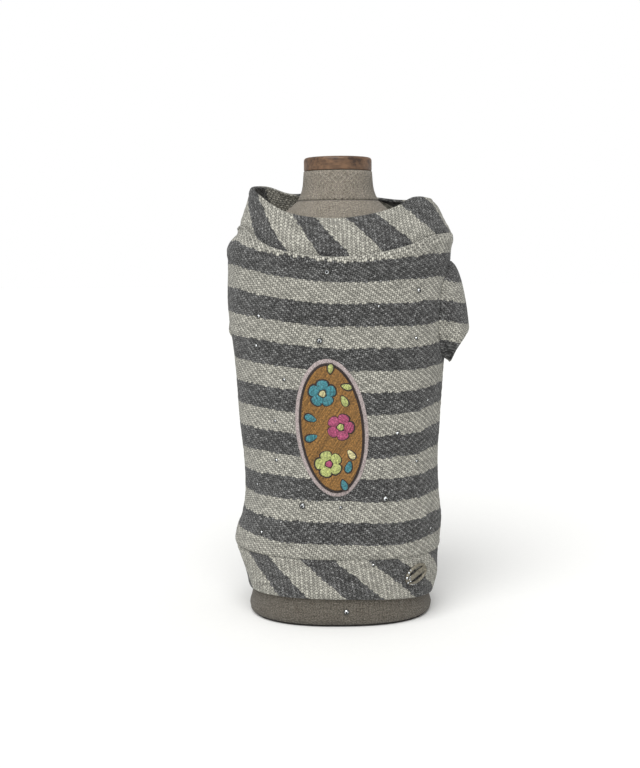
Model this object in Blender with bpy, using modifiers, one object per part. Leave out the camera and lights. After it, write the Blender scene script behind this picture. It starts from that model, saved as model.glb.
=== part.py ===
"""Striped dog t-shirt with a cowl collar, worn by a limbless tabletop dress form.

Metres, +Z up. The origin is the middle of the form's underside, and the side that
carries the patch (the dog's back) faces -Y. The cloth is made of walls lofted
through sections: a ring of cloth is written by where it lies in front, at the left,
at the right and behind, and the angle 0 points to +X, 90 to +Y, 270 to -Y.
"""

import math
from collections import namedtuple

import bpy
from mathutils import Matrix, Vector

MM = 0.001
PART = "dog_t_shirt_on_dress_form"

# Driving dimensions.
FORM_HEIGHT = 304 * MM
BASE_BOARD_THICKNESS = 1.6 * MM
BASE_BOARD_INSET = 2.0 * MM
CAP_RADIUS = 22.4 * MM
CAP_THICKNESS = 8.7 * MM
CAP_EDGE_RADIUS = 2.0 * MM
CAP_FOOT_CHAMFER = 0.8 * MM
PANEL_CLOTH = 2.0 * MM
DOUBLED_CLOTH = 3.2 * MM
BAND_CLOTH = 2.2 * MM
SEAM_GAP = 0.4 * MM
SIDE_SEAM_GAP = 0.8 * MM

# The panels' rows rise to meet the neck seam's own line from this height upwards.
NECK_RISE_START = 190.0

# Side seams and armholes: angles round the body in degrees, and heights as a ring's front has them.
RIGHT_SEAM = -7.0
LEFT_SEAM = 135.0
ARMHOLE_HALF_ANGLE = 22.0
ARMHOLE_LOW = 172 * MM
ARMHOLE_HIGH = 226 * MM
ARMHOLE_STEPS = 8

# A sleeve's cuff, measured from the middle of its armhole, with its tilt out of the level in
# degrees. Puff and hang are the shares of the sleeve's length that shape its two ends.
CUFF_OUT = 8.0 * MM
CUFF_DROP = 18.4 * MM
CUFF_HALF_WIDTH = 21.0 * MM
CUFF_HALF_HEIGHT = 12.0 * MM
CUFF_TILT = 57.0
CUFF_FLARE = 0.1
SLEEVE_PUFF = 0.16
SLEEVE_HANG = 0.36
SLEEVE_LIFT = 0.5 * MM
SLEEVE_ROWS = 6

# The patch is an upright oval, and the charm a small oval slider with a bar across.
PATCH_CENTRE_X = -5.6 * MM
PATCH_CENTRE_Z = 132 * MM
PATCH_HALF_WIDTH = 23.0 * MM
PATCH_HALF_HEIGHT = 44.5 * MM
PATCH_LEAN = 5.4
PATCH_THICKNESS = 1.8 * MM
CHARM_ANGLE = 312.0
CHARM_Z = 33.5 * MM
CHARM_HALF_WIDTH = 9.2 * MM
CHARM_HALF_HEIGHT = 5.8 * MM
CHARM_RIM = 1.7 * MM
CHARM_BAR_HALF = 1.5 * MM
CHARM_THICKNESS = 1.6 * MM
CHARM_TILT = 28.0

# Mesh fineness.
BACK_COLUMNS = 36
BELLY_COLUMNS = 22
LOW_ROWS = 9
HIGH_ROWS = 3
TUBE_COLUMNS = 60
FORM_COLUMNS = 44
LONG_SECTION = 30.0
PATCH_SPOKES = 28
PATCH_RINGS = 4
CAP_STEPS = 32
COLLAR_KEYS = [0.0, 0.15, 0.35, 0.58, 0.80, 0.93]
BAND_KEYS = [0.06, 0.35, 0.70, 1.0]

# The round edge of a folded tube of cloth: share of the way in, and of the edge's height.
FOLDED_EDGE = [(0.2, 0.7), (0.5, 1.0), (0.8, 0.7)]

Form = namedtuple("Form", "key half_width y_front y_back squareness")
Ring = namedtuple(
    "Ring", "key z_front z_left z_right z_back x_left x_right y_front y_back squareness"
)
Cowl = namedtuple("Cowl", "key rise x_left x_right y_front y_back squareness")
Brim = namedtuple("Brim", "angle seam fold")
Fold = namedtuple("Fold", "angle low high half_angle depth lean")

# The linen form, from its base to the foot of the cap. The key is the height, in mm.
FORM_SECTIONS = [
    Form(1.9, 61.6, -48.6, 46.0, 2.4),
    Form(4.5, 62.2, -49.6, 46.8, 2.4),
    Form(11.0, 60.4, -50.3, 47.6, 2.45),
    Form(22.0, 59.6, -50.2, 48.0, 2.5),
    Form(55.0, 59.6, -49.6, 48.2, 2.45),
    Form(92.0, 60.0, -49.2, 48.4, 2.4),
    Form(130.0, 63.0, -50.2, 49.6, 2.35),
    Form(165.0, 65.4, -51.6, 51.2, 2.3),
    Form(198.0, 67.6, -52.6, 52.2, 2.3),
    Form(222.0, 68.2, -52.4, 51.6, 2.3),
    Form(238.0, 65.4, -49.6, 49.0, 2.3),
    Form(249.0, 58.8, -44.2, 44.2, 2.25),
    Form(258.0, 50.0, -38.2, 38.8, 2.2),
    Form(265.0, 41.0, -32.8, 34.2, 2.1),
    Form(270.5, 33.0, -28.6, 29.8, 2.05),
    Form(276.0, 27.2, -25.2, 26.0, 2.0),
    Form(283.0, 23.9, -23.5, 23.6, 2.0),
    Form(295.0, 22.6, -22.6, 22.6, 2.0),
]

# Outer face of the back and belly panels, from the hem band's seam to the neck seam.
BODY_RINGS = [
    Ring(46.1, 46.1, 47.7, 44.5, 44.6, -71.0, 66.8, -53.2, 51.6, 2.45),
    Ring(54.0, 54.0, 55.2, 52.8, 52.8, -70.8, 67.8, -54.2, 52.8, 2.4),
    Ring(65.0, 65.0, 65.8, 64.4, 64.4, -66.8, 68.6, -54.2, 53.0, 2.4),
    Ring(82.0, 82.0, 82.4, 81.4, 82.0, -64.2, 66.8, -53.0, 52.2, 2.4),
    Ring(104.0, 104.0, 104.0, 104.0, 104.0, -64.6, 66.0, -52.6, 52.0, 2.35),
    Ring(125.0, 125.0, 126.5, 126.0, 126.0, -66.8, 67.2, -53.4, 52.8, 2.35),
    Ring(150.0, 150.0, 153.0, 151.0, 152.0, -69.0, 68.8, -54.8, 54.0, 2.3),
    Ring(172.0, 172.0, 176.5, 172.5, 175.0, -71.2, 70.2, -56.0, 55.2, 2.3),
    Ring(200.0, 200.0, 206.0, 201.0, 204.0, -74.0, 72.4, -56.6, 56.0, 2.3),
    Ring(222.0, 222.0, 231.0, 223.5, 227.0, -73.4, 73.8, -56.6, 55.8, 2.3),
    Ring(229.0, 229.0, 239.5, 231.4, 235.0, -74.0, 74.2, -55.8, 55.2, 2.3),
    Ring(235.0, 235.0, 247.0, 238.5, 242.0, -71.6, 74.7, -54.8, 54.4, 2.3),
    Ring(240.3, 240.3, 253.4, 245.0, 248.0, -67.2, 76.2, -53.2, 53.0, 2.3),
]

# Heights of the neck seam and of the collar's fold round the garment, in mm. The neckline
# scoops down in front, and the collar stands up in a soft peak at each side.
NECK_LINES = [
    Brim(0.0, 254.5, 274.8),
    Brim(25.0, 253.0, 275.4),
    Brim(50.0, 250.5, 276.2),
    Brim(75.0, 249.2, 279.4),
    Brim(100.0, 249.6, 282.0),
    Brim(122.0, 251.5, 280.8),
    Brim(145.0, 254.6, 285.1),
    Brim(165.0, 257.6, 285.0),
    Brim(185.0, 259.8, 283.0),
    Brim(205.0, 259.3, 278.0),
    Brim(220.0, 253.4, 272.0),
    Brim(235.0, 246.4, 266.8),
    Brim(250.0, 242.4, 263.6),
    Brim(270.0, 239.9, 262.4),
    Brim(290.0, 243.2, 265.4),
    Brim(305.0, 247.4, 269.6),
    Brim(320.0, 252.6, 275.6),
    Brim(340.0, 254.4, 275.4),
]

# Outer face of the cowl collar, from the neck seam up to the fold along its top edge. The
# rise is the share of the way from the seam's height to the fold's.
COLLAR_RINGS = [
    Cowl(0.0, 0.0, -66.8, 76.0, -52.8, 52.8, 2.3),
    Cowl(0.15, 0.148, -65.4, 75.0, -50.8, 51.0, 2.3),
    Cowl(0.35, 0.38, -63.2, 71.8, -48.0, 48.4, 2.25),
    Cowl(0.58, 0.62, -60.8, 68.6, -45.2, 45.6, 2.2),
    Cowl(0.80, 0.843, -59.2, 65.8, -42.5, 43.2, 2.2),
    Cowl(0.93, 0.954, -58.8, 63.9, -40.7, 41.6, 2.2),
    Cowl(1.0, 1.0, -58.2, 62.8, -39.4, 40.2, 2.2),
]
NECK_SEAM_GAP = 0.9

# Outer face of the hem band, from its folded lower edge up to the body's seam.
BAND_RINGS = [
    Ring(0.0, 20.8, 18.5, 14.5, 14.0, -62.6, 63.2, -53.0, 51.0, 2.5),
    Ring(0.35, 29.6, 28.5, 25.0, 24.4, -64.7, 66.0, -52.9, 51.0, 2.5),
    Ring(0.70, 38.0, 38.4, 35.2, 34.6, -68.0, 66.2, -52.7, 51.0, 2.5),
    Ring(1.0, 45.6, 46.9, 44.0, 44.1, -70.4, 66.4, -53.0, 51.2, 2.45),
]

# Soft folds of the body. Angles in degrees, heights in mm, depth outwards in mm;
# lean is how far the fold turns, in degrees, between its lower and its upper end.
BODY_FOLDS = [
    Fold(336.0, 96.0, 176.0, 9.0, -1.3, 14.0),
    Fold(205.0, 52.0, 128.0, 10.0, -1.2, -16.0),
    Fold(186.0, 130.0, 212.0, 10.0, -0.9, 6.0),
    Fold(30.0, 62.0, 170.0, 9.0, 1.3, -14.0),
    Fold(62.0, 70.0, 188.0, 10.0, -1.2, 12.0),
    Fold(92.0, 56.0, 150.0, 10.0, 1.5, -8.0),
    Fold(118.0, 84.0, 196.0, 11.0, -1.2, 10.0),
]
# Soft drapes of the cowl. Here low and high are shares of the collar's rise.
COLLAR_FOLDS = [
    Fold(214.0, 0.2, 1.2, 15.0, -1.4, 12.0),
    Fold(338.0, 0.3, 1.3, 13.0, 1.5, -10.0),
    Fold(300.0, 0.1, 1.1, 14.0, -1.2, 10.0),
    Fold(38.0, 0.2, 1.2, 14.0, -1.5, 8.0),
    Fold(88.0, 0.3, 1.3, 16.0, 1.4, 0.0),
    Fold(142.0, 0.2, 1.2, 15.0, -1.6, -8.0),
]


def section_at(table, key):
    """A row between the table's rows, on a smooth curve through them in their first column."""
    last = len(table) - 1
    key = min(max(key, table[0][0]), table[last][0])
    i = max(j for j in range(last) if table[j][0] <= key)
    before, low, high, after = (table[min(max(j, 0), last)] for j in range(i - 1, i + 3))
    span = high[0] - low[0]
    t = (key - low[0]) / span
    t2, t3 = t * t, t * t * t
    values = []
    for k in range(1, len(low)):
        slope_low = (high[k] - before[k]) / (high[0] - before[0]) * span
        slope_high = (after[k] - low[k]) / (after[0] - low[0]) * span
        values.append(
            (2 * t3 - 3 * t2 + 1) * low[k]
            + (t3 - 2 * t2 + t) * slope_low
            + (3 * t2 - 2 * t3) * high[k]
            + (t3 - t2) * slope_high
        )
    return type(low)(key, *values)


def rounded_square(value, squareness):
    """A sine or cosine, flattened towards the sides of a rounded square."""
    return math.copysign(abs(value) ** (2.0 / squareness), value)


def ring_point(ring, degrees):
    """A point of a ring of cloth, in metres."""
    angle = math.radians(degrees)
    cosine, sine = math.cos(angle), math.sin(angle)
    x = abs(ring.x_right if cosine > 0 else ring.x_left) * rounded_square(cosine, ring.squareness)
    y = abs(ring.y_back if sine > 0 else ring.y_front) * rounded_square(sine, ring.squareness)
    mean = (ring.z_right + ring.z_back + ring.z_left + ring.z_front) / 4
    along_x = (ring.z_right - ring.z_left) / 2
    along_y = (ring.z_back - ring.z_front) / 2
    twist = (ring.z_right + ring.z_left - ring.z_back - ring.z_front) / 4
    z = mean + along_x * cosine + along_y * sine + twist * math.cos(2 * angle)
    return Vector((x, y, z)) * MM


def fold_depth(folds, degrees, height):
    """How far the folds push the cloth outwards here, in metres."""
    depth = 0.0
    for fold in folds:
        share = (height - fold.low) / (fold.high - fold.low)
        if 0.0 < share < 1.0:
            centre = fold.angle + fold.lean * (share - 0.5)
            off = (degrees - centre + 180.0) % 360.0 - 180.0
            across = math.exp(-((off / fold.half_angle) ** 2))
            along = math.sin(math.pi * share) ** 2
            depth += fold.depth * across * along
    return depth * MM


def pushed_out(point, distance):
    """The point moved level away from the form's axis."""
    level = Vector((point.x, point.y, 0.0))
    return point + level.normalized() * distance


def neck_heights(degrees):
    """The row of the neck's lines at this angle, with the table carried on past its ends."""
    turn = 360.0
    before = [row._replace(angle=row.angle - turn) for row in NECK_LINES[-2:]]
    after = [row._replace(angle=row.angle + turn) for row in NECK_LINES[:2]]
    return section_at(before + NECK_LINES + after, degrees % turn)


def body_point(degrees, height):
    """A point of the panels' outer face. The height is that of the ring's front, in metres."""
    key = height / MM
    point = ring_point(section_at(BODY_RINGS, key), degrees)
    top = BODY_RINGS[-1]
    share = min(max((key - NECK_RISE_START) / (top.key - NECK_RISE_START), 0.0), 1.0)
    to_seam = neck_heights(degrees).seam * MM - ring_point(top, degrees).z
    point.z += to_seam * share * share * (3.0 - 2.0 * share)
    return pushed_out(point, fold_depth(BODY_FOLDS, degrees, key))


def collar_point(degrees, key):
    """A point of the collar's outer face."""
    row = section_at(COLLAR_RINGS, key)
    neck = neck_heights(degrees)
    foot = neck.seam + NECK_SEAM_GAP
    height = foot + (neck.fold - foot) * row.rise
    level = Ring(key, height, height, height, height, *row[2:])
    return pushed_out(ring_point(level, degrees), fold_depth(COLLAR_FOLDS, degrees, key))


def band_point(degrees, key):
    """A point of the hem band's outer face."""
    return ring_point(section_at(BAND_RINGS, key), degrees)


def body_normal(degrees, height):
    """The panels' outward normal."""
    step_angle, step_height = 1.5, 1.5 * MM
    across = body_point(degrees + step_angle, height) - body_point(degrees - step_angle, height)
    up = body_point(degrees, height + step_height) - body_point(degrees, height - step_height)
    return across.cross(up).normalized()


def new_material(name, colour, roughness, metallic=0.0):
    material = bpy.data.materials.new(name)
    material.use_nodes = True
    shader = material.node_tree.nodes["Principled BSDF"]
    shader.inputs["Base Color"].default_value = (*colour, 1.0)
    shader.inputs["Roughness"].default_value = roughness
    shader.inputs["Metallic"].default_value = metallic
    return material


def add_mesh(name, points, faces, material, smooth_angle=35.0):
    """An object of these points and faces, in the part's collection."""
    mesh = bpy.data.meshes.new(name)
    mesh.from_pydata([tuple(p) for p in points], [], faces)
    mesh.materials.append(material)
    mesh.shade_smooth()
    mesh.set_sharp_from_angle(angle=math.radians(smooth_angle))
    return link(bpy.data.objects.new(name, mesh))


def link(obj):
    bpy.data.collections[PART].objects.link(obj)
    return obj


def loft(rings, closed_columns, closed_rows):
    """Points and four-sided faces through rings of equal length."""
    count = len(rings[0])
    points = [p for ring in rings for p in ring]
    row_pairs = [(j, j + 1) for j in range(len(rings) - 1)]
    if closed_rows:
        row_pairs.append((len(rings) - 1, 0))
    columns = count if closed_columns else count - 1
    faces = []
    for low, high in row_pairs:
        for i in range(columns):
            k = (i + 1) % count
            faces.append((low * count + i, low * count + k, high * count + k, high * count + i))
    return points, faces


def capped_loft(rings):
    """A closed solid through level rings, with a flat face at each end."""
    points, faces = loft(rings, closed_columns=True, closed_rows=False)
    count = len(rings[0])
    faces.append(tuple(reversed(range(count))))
    faces.append(tuple(range(len(points) - count, len(points))))
    return points, faces


def thicken(obj, thickness, offset):
    """Gives an open surface its wall: offset -1 builds inwards, +1 outwards."""
    solidify = obj.modifiers.new("wall", "SOLIDIFY")
    solidify.thickness = thickness
    solidify.offset = offset
    solidify.use_even_offset = True
    solidify.use_quality_normals = True
    return obj


def full_turn(columns):
    return [360.0 * i / columns for i in range(columns)]


def form_ring(section, inset=0.0):
    """A level ring of the dress form, in metres."""
    inset_mm = inset / MM
    half = section.half_width - inset_mm
    ring = Ring(
        0.0, section.key, section.key, section.key, section.key,
        -half, half, section.y_front + inset_mm, section.y_back - inset_mm, section.squareness,
    )
    return [ring_point(ring, degrees) for degrees in full_turn(FORM_COLUMNS)]


def build_form_body(linen):
    """The linen-covered body, with a ring at each section and one halfway along the long ones."""
    levels = []
    for low, high in zip(FORM_SECTIONS, FORM_SECTIONS[1:]):
        levels.append(low.key)
        if high.key - low.key > LONG_SECTION:
            levels.append((low.key + high.key) / 2)
    levels.append(FORM_SECTIONS[-1].key)
    rings = [form_ring(section_at(FORM_SECTIONS, key)) for key in levels]
    add_mesh("form_body", *capped_loft(rings), linen)


def build_base_board(dark_board):
    """The thin board that closes the form's foot, set back from the linen's edge."""
    outline = form_ring(FORM_SECTIONS[0], inset=BASE_BOARD_INSET)
    rings = [[Vector((p.x, p.y, z)) for p in outline] for z in (0.0, BASE_BOARD_THICKNESS)]
    add_mesh("base_board", *capped_loft(rings), dark_board)


def build_neck_cap(wood):
    """The turned wooden disc on the neck, from its profile."""
    low = FORM_HEIGHT - CAP_THICKNESS
    profile = [(0.0, FORM_HEIGHT)]
    for degrees in (90, 60, 30, 0):
        angle = math.radians(degrees)
        x = CAP_RADIUS - CAP_EDGE_RADIUS * (1.0 - math.cos(angle))
        z = FORM_HEIGHT - CAP_EDGE_RADIUS * (1.0 - math.sin(angle))
        profile.append((x, z))
    profile.append((CAP_RADIUS, low + CAP_FOOT_CHAMFER))
    profile.append((CAP_RADIUS - CAP_FOOT_CHAMFER, low))
    profile.append((0.0, low))
    mesh = bpy.data.meshes.new("neck_cap")
    edges = [(i, i + 1) for i in range(len(profile) - 1)]
    mesh.from_pydata([(x, 0.0, z) for x, z in profile], edges, [])
    mesh.materials.append(wood)
    cap = link(bpy.data.objects.new("neck_cap", mesh))
    screw = cap.modifiers.new("turned", "SCREW")
    screw.steps = screw.render_steps = CAP_STEPS
    screw.use_merge_vertices = True
    screw.merge_threshold = 0.01 * MM


def panel_heights():
    """Heights of the panels' rows: even below, and closer at the armholes' round ends."""
    low, high = BODY_RINGS[0].key * MM, BODY_RINGS[-1].key * MM
    middle, half = (ARMHOLE_LOW + ARMHOLE_HIGH) / 2, (ARMHOLE_HIGH - ARMHOLE_LOW) / 2
    below = [low + (ARMHOLE_LOW - low) * i / LOW_ROWS for i in range(LOW_ROWS)]
    turns = [math.pi * i / ARMHOLE_STEPS for i in range(ARMHOLE_STEPS + 1)]
    across = [middle - half * math.cos(turn) for turn in turns]
    above = [ARMHOLE_HIGH + (high - ARMHOLE_HIGH) * i / HIGH_ROWS for i in range(1, HIGH_ROWS + 1)]
    return below + across + above


def armhole_width(height):
    """Half the armhole's width at this height, in degrees round the body."""
    middle, half = (ARMHOLE_LOW + ARMHOLE_HIGH) / 2, (ARMHOLE_HIGH - ARMHOLE_LOW) / 2
    share = (height - middle) / half
    return ARMHOLE_HALF_ANGLE * math.sqrt(1.0 - share * share) if abs(share) < 1.0 else 0.0


def gap_angle(degrees, height, gap):
    """The angle that a gap along the cloth spans here."""
    arc = (body_point(degrees + 1.0, height) - body_point(degrees - 1.0, height)).length / 2.0
    return gap / arc


def build_panel(name, start, end, columns, cloth):
    """A body panel from one side seam to the other, hollowed at both ends for the armholes."""
    rows = []
    for height in panel_heights():
        notch = armhole_width(height)
        first = start + notch + gap_angle(start + notch, height, SIDE_SEAM_GAP / 2)
        last = end - notch - gap_angle(end - notch, height, SIDE_SEAM_GAP / 2)
        rows.append(
            [body_point(first + (last - first) * i / columns, height) for i in range(columns + 1)]
        )
    panel = add_mesh(name, *loft(rows, closed_columns=False, closed_rows=False), cloth)
    return thicken(panel, PANEL_CLOTH, -1.0)


def armhole_ring(centre):
    """The sleeve's root: the armhole's edge, drawn in by the seam's gap and lifted a little."""
    across = [h for h in panel_heights() if ARMHOLE_LOW - MM / 10 <= h <= ARMHOLE_HIGH + MM / 10]
    back_edge = [(centre + armhole_width(h), h) for h in across]
    front_edge = [(centre - armhole_width(h), h) for h in reversed(across[1:-1])]
    middle = body_point(centre, (ARMHOLE_LOW + ARMHOLE_HIGH) / 2)
    ring = []
    for degrees, height in back_edge + front_edge:
        edge = body_point(degrees, height)
        inwards = (middle - edge).normalized()
        tip = abs(degrees - centre) < 0.01
        ring.append(
            edge
            + inwards * SEAM_GAP * (3.0 if tip else 0.5)
            + body_normal(degrees, height) * SLEEVE_LIFT
        )
    return ring


def build_sleeve(name, centre, cloth):
    """A short cap sleeve: a tube from the armhole, over its puff and down to the open cuff."""
    root = armhole_ring(centre)
    count = len(root)
    middle = body_point(centre, (ARMHOLE_LOW + ARMHOLE_HIGH) / 2)
    outwards = body_normal(centre, (ARMHOLE_LOW + ARMHOLE_HIGH) / 2)
    outwards = Vector((outwards.x, outwards.y, 0.0)).normalized()
    along = Vector((-outwards.y, outwards.x, 0.0))
    up = Vector((0.0, 0.0, 1.0))
    tilt = math.radians(CUFF_TILT)
    cuff_middle = middle + outwards * CUFF_OUT - up * CUFF_DROP
    cuff_up = outwards * math.cos(tilt) + up * math.sin(tilt)
    hang = (outwards * CUFF_FLARE - up).normalized()
    steps = [i / SLEEVE_ROWS for i in range(SLEEVE_ROWS + 1)]
    rows = [[] for _ in steps]
    for i, start in enumerate(root):
        turn = 2.0 * math.pi * i / count - math.pi / 2
        end = (
            cuff_middle
            + along * math.cos(turn) * CUFF_HALF_WIDTH
            + cuff_up * math.sin(turn) * CUFF_HALF_HEIGHT
        )
        reach = (end - start).length
        rooted = Vector((start.x, start.y, 0.0)).normalized()
        control_a = start + (rooted + outwards).normalized() * reach * SLEEVE_PUFF
        control_b = end - hang * reach * SLEEVE_HANG
        for row, t in zip(rows, steps):
            u = 1.0 - t
            row.append(
                start * u**3 + control_a * 3 * u * u * t + control_b * 3 * u * t * t + end * t**3
            )
    sleeve = add_mesh(name, *loft(rows, closed_columns=True, closed_rows=False), cloth)
    return thicken(sleeve, PANEL_CLOTH, -1.0)


def doubled_tube(name, surface, keys, thickness, fold_at_top, cloth):
    """A tube of doubled cloth: up its outer face, over the fold and down its inner face."""
    fold_end, sign = (1.0, 1.0) if fold_at_top else (0.0, -1.0)
    outer = [(key, 0.0, 0.0) for key in keys]
    inner = [(key, thickness, 0.0) for key in reversed(keys)]
    crown = [
        (fold_end, thickness * share, sign * thickness / 2 * lift) for share, lift in FOLDED_EDGE
    ]
    stations = outer + crown + inner if fold_at_top else outer + inner + crown[::-1]
    rings = []
    for key, depth, lift in stations:
        ring = []
        for degrees in full_turn(TUBE_COLUMNS):
            point = pushed_out(surface(degrees, key), -depth)
            point.z += lift
            ring.append(point)
        rings.append(ring)
    points, faces = loft(rings, closed_columns=True, closed_rows=True)
    return add_mesh(name, points, faces, cloth)


def front_surface(x, z):
    """The point and outward normal of the back panel straight behind (x, z), both in metres."""
    height = z
    for _ in range(6):
        ring = section_at(BODY_RINGS, height / MM)
        side = abs(ring.x_right if x > 0 else ring.x_left) * MM
        cosine = math.copysign((abs(x) / side) ** (ring.squareness / 2.0), x)
        degrees = 360.0 - math.degrees(math.acos(cosine))
        height += z - body_point(degrees, height).z
    return body_point(degrees, height), body_normal(degrees, height)


def build_patch(felt):
    """The oval patch: points of the back panel, moved out, then given the patch's thickness."""
    lean = math.radians(PATCH_LEAN)
    points, rings = [], []
    for ring in range(PATCH_RINGS + 1):
        share = ring / PATCH_RINGS
        indices = []
        for spoke in range(PATCH_SPOKES if ring else 1):
            turn = 2.0 * math.pi * spoke / PATCH_SPOKES
            across = PATCH_HALF_WIDTH * share * math.cos(turn)
            up = PATCH_HALF_HEIGHT * share * math.sin(turn)
            x = PATCH_CENTRE_X + across * math.cos(lean) - up * math.sin(lean)
            z = PATCH_CENTRE_Z + across * math.sin(lean) + up * math.cos(lean)
            place, normal = front_surface(x, z)
            indices.append(len(points))
            points.append(place + normal * SEAM_GAP)
        rings.append(indices)
    faces = []
    for low, high in zip(rings, rings[1:]):
        for i in range(PATCH_SPOKES):
            k = (i + 1) % PATCH_SPOKES
            if len(low) == 1:
                faces.append((low[0], high[i], high[k]))
            else:
                faces.append((low[i], high[i], high[k], low[k]))
    patch = add_mesh("applique_patch", points, faces, felt)
    return thicken(patch, PATCH_THICKNESS, 1.0)


def oval_points(half_width, half_height, count, clip=None):
    """An oval outline. With clip, only the part above that height, closed by a straight edge."""
    if clip is None:
        turns = [2.0 * math.pi * i / count for i in range(count)]
    else:
        start = math.asin(clip / half_height)
        turns = [start + (math.pi - 2.0 * start) * i / (count - 1) for i in range(count)]
    return [(half_width * math.cos(turn), half_height * math.sin(turn)) for turn in turns]


def build_charm(metal):
    """A flat oval slider with a bar across, lying on the hem band."""
    curve = bpy.data.curves.new("slider_charm", "CURVE")
    curve.dimensions = "2D"
    curve.fill_mode = "BOTH"
    curve.extrude = CHARM_THICKNESS / 2
    inner = (CHARM_HALF_WIDTH - CHARM_RIM, CHARM_HALF_HEIGHT - CHARM_RIM)
    hole = oval_points(*inner, 13, clip=CHARM_BAR_HALF)
    rim = oval_points(CHARM_HALF_WIDTH, CHARM_HALF_HEIGHT, 36)
    outlines = [rim, hole, [(-x, -y) for x, y in hole]]
    for outline in outlines:
        spline = curve.splines.new("POLY")
        spline.points.add(len(outline) - 1)
        for point, (x, y) in zip(spline.points, outline):
            point.co = (x, y, 0.0, 1.0)
        spline.use_cyclic_u = True
    curve.materials.append(metal)
    charm = link(bpy.data.objects.new("slider_charm", curve))
    keys = [k / 50 for k in range(51)]
    key = min(keys, key=lambda k: abs(band_point(CHARM_ANGLE, k).z - CHARM_Z))
    place = band_point(CHARM_ANGLE, key)
    across = band_point(CHARM_ANGLE + 2, key) - band_point(CHARM_ANGLE - 2, key)
    up = band_point(CHARM_ANGLE, key + 0.05) - band_point(CHARM_ANGLE, key - 0.05)
    normal = across.cross(up).normalized()
    axes = Matrix((across.normalized(), normal.cross(across).normalized(), normal)).transposed()
    tilted = axes @ Matrix.Rotation(math.radians(CHARM_TILT), 3, "Z")
    centre = place + normal * (SEAM_GAP + CHARM_THICKNESS / 2)
    charm.matrix_world = Matrix.Translation(centre) @ tilted.to_4x4()


def main():
    for obj in list(bpy.data.objects):
        bpy.data.objects.remove(obj)
    bpy.context.scene.collection.children.link(bpy.data.collections.new(PART))

    stripes = new_material("striped_terry_knit", (0.42, 0.41, 0.37), 0.95)
    bias = new_material("striped_terry_bias", (0.36, 0.36, 0.33), 0.95)
    linen = new_material("linen_cover", (0.29, 0.26, 0.21), 0.9)
    wood = new_material("turned_wood", (0.16, 0.09, 0.05), 0.45)
    board = new_material("dark_board", (0.03, 0.028, 0.025), 0.7)
    felt = new_material("embroidered_felt", (0.38, 0.30, 0.16), 0.85)
    nickel = new_material("nickel", (0.55, 0.53, 0.48), 0.25, 1.0)

    build_base_board(board)
    build_form_body(linen)
    build_neck_cap(wood)
    build_panel("belly_panel", RIGHT_SEAM, LEFT_SEAM, BELLY_COLUMNS, stripes)
    build_panel("back_panel", LEFT_SEAM, RIGHT_SEAM + 360.0, BACK_COLUMNS, stripes)
    build_sleeve("sleeve_right", RIGHT_SEAM, stripes)
    build_sleeve("sleeve_left", LEFT_SEAM, stripes)
    doubled_tube("cowl_collar", collar_point, COLLAR_KEYS, DOUBLED_CLOTH, True, bias)
    doubled_tube("hem_band", band_point, BAND_KEYS, BAND_CLOTH, False, bias)
    build_patch(felt)
    build_charm(nickel)


main()
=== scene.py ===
# %% [markdown]
# # A striped dog t-shirt on a small dress form
#
# The real thing is a small dog's t-shirt in striped loop-back terry, with a cowl collar,
# cap sleeves, a folded hem band cut on the bias and an oval patch. It is worn by a plain
# tabletop dress form: a body covered in linen, with a wooden cap on its neck.
#
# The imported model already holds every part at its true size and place. This lesson loads
# it and dresses it: each plain solid gets its finish, or is stood for by a finer piece
# that lies in the same space. Sizes below are in millimetres, and Blender's are metres.

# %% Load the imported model
import math
from collections import namedtuple
from functools import lru_cache

import bpy
from mathutils import Matrix, Vector, noise


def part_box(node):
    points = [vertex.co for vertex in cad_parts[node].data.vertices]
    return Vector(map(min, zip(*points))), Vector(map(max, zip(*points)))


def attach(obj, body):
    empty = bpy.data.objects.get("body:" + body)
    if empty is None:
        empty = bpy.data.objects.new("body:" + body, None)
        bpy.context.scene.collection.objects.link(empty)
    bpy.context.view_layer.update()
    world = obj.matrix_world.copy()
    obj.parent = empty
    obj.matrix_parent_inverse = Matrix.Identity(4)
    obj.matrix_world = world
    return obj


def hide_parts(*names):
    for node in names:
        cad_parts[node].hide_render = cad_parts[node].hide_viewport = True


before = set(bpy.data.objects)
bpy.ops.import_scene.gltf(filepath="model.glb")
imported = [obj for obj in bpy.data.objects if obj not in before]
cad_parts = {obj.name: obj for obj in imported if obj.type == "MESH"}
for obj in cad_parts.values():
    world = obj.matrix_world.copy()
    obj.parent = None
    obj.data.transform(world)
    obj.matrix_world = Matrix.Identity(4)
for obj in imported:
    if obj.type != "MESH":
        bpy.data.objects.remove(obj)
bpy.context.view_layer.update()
MM = 0.001

# %% [markdown]
# ## Colours and shader nodes
#
# Colours are written as the hex values that a picture editor shows, which are sRGB.
# Blender's shaders work in linear light, so one function turns one into the other.
# Another small function adds a node and gives back its output, so that it can go straight
# into the next one. Its inputs are written in their order on the node, or by name: one
# that is a socket is linked, and any other is typed in.


# %% Colour and node helpers
def linear(hex_colour):
    """An sRGB hex colour such as "A09C90" as linear red, green, blue and alpha."""
    shares = [int(hex_colour[i : i + 2], 16) / 255 for i in (0, 2, 4)]
    bent = [c / 12.92 if c <= 0.04045 else ((c + 0.055) / 1.055) ** 2.4 for c in shares]
    return (*bent, 1.0)


def add_node(tree, kind, inputs=(), out=0, **settings):
    """Adds a node of this kind, with its settings and inputs, and gives back an output."""
    made = tree.nodes.new("ShaderNode" + kind)
    for name, value in settings.items():
        setattr(made, name, value)
    places = inputs if isinstance(inputs, dict) else dict(enumerate(inputs))
    for place, value in places.items():
        if isinstance(value, bpy.types.NodeSocket):
            tree.links.new(value, made.inputs[place])
        else:
            made.inputs[place].default_value = value
    return made.outputs[out]


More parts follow.
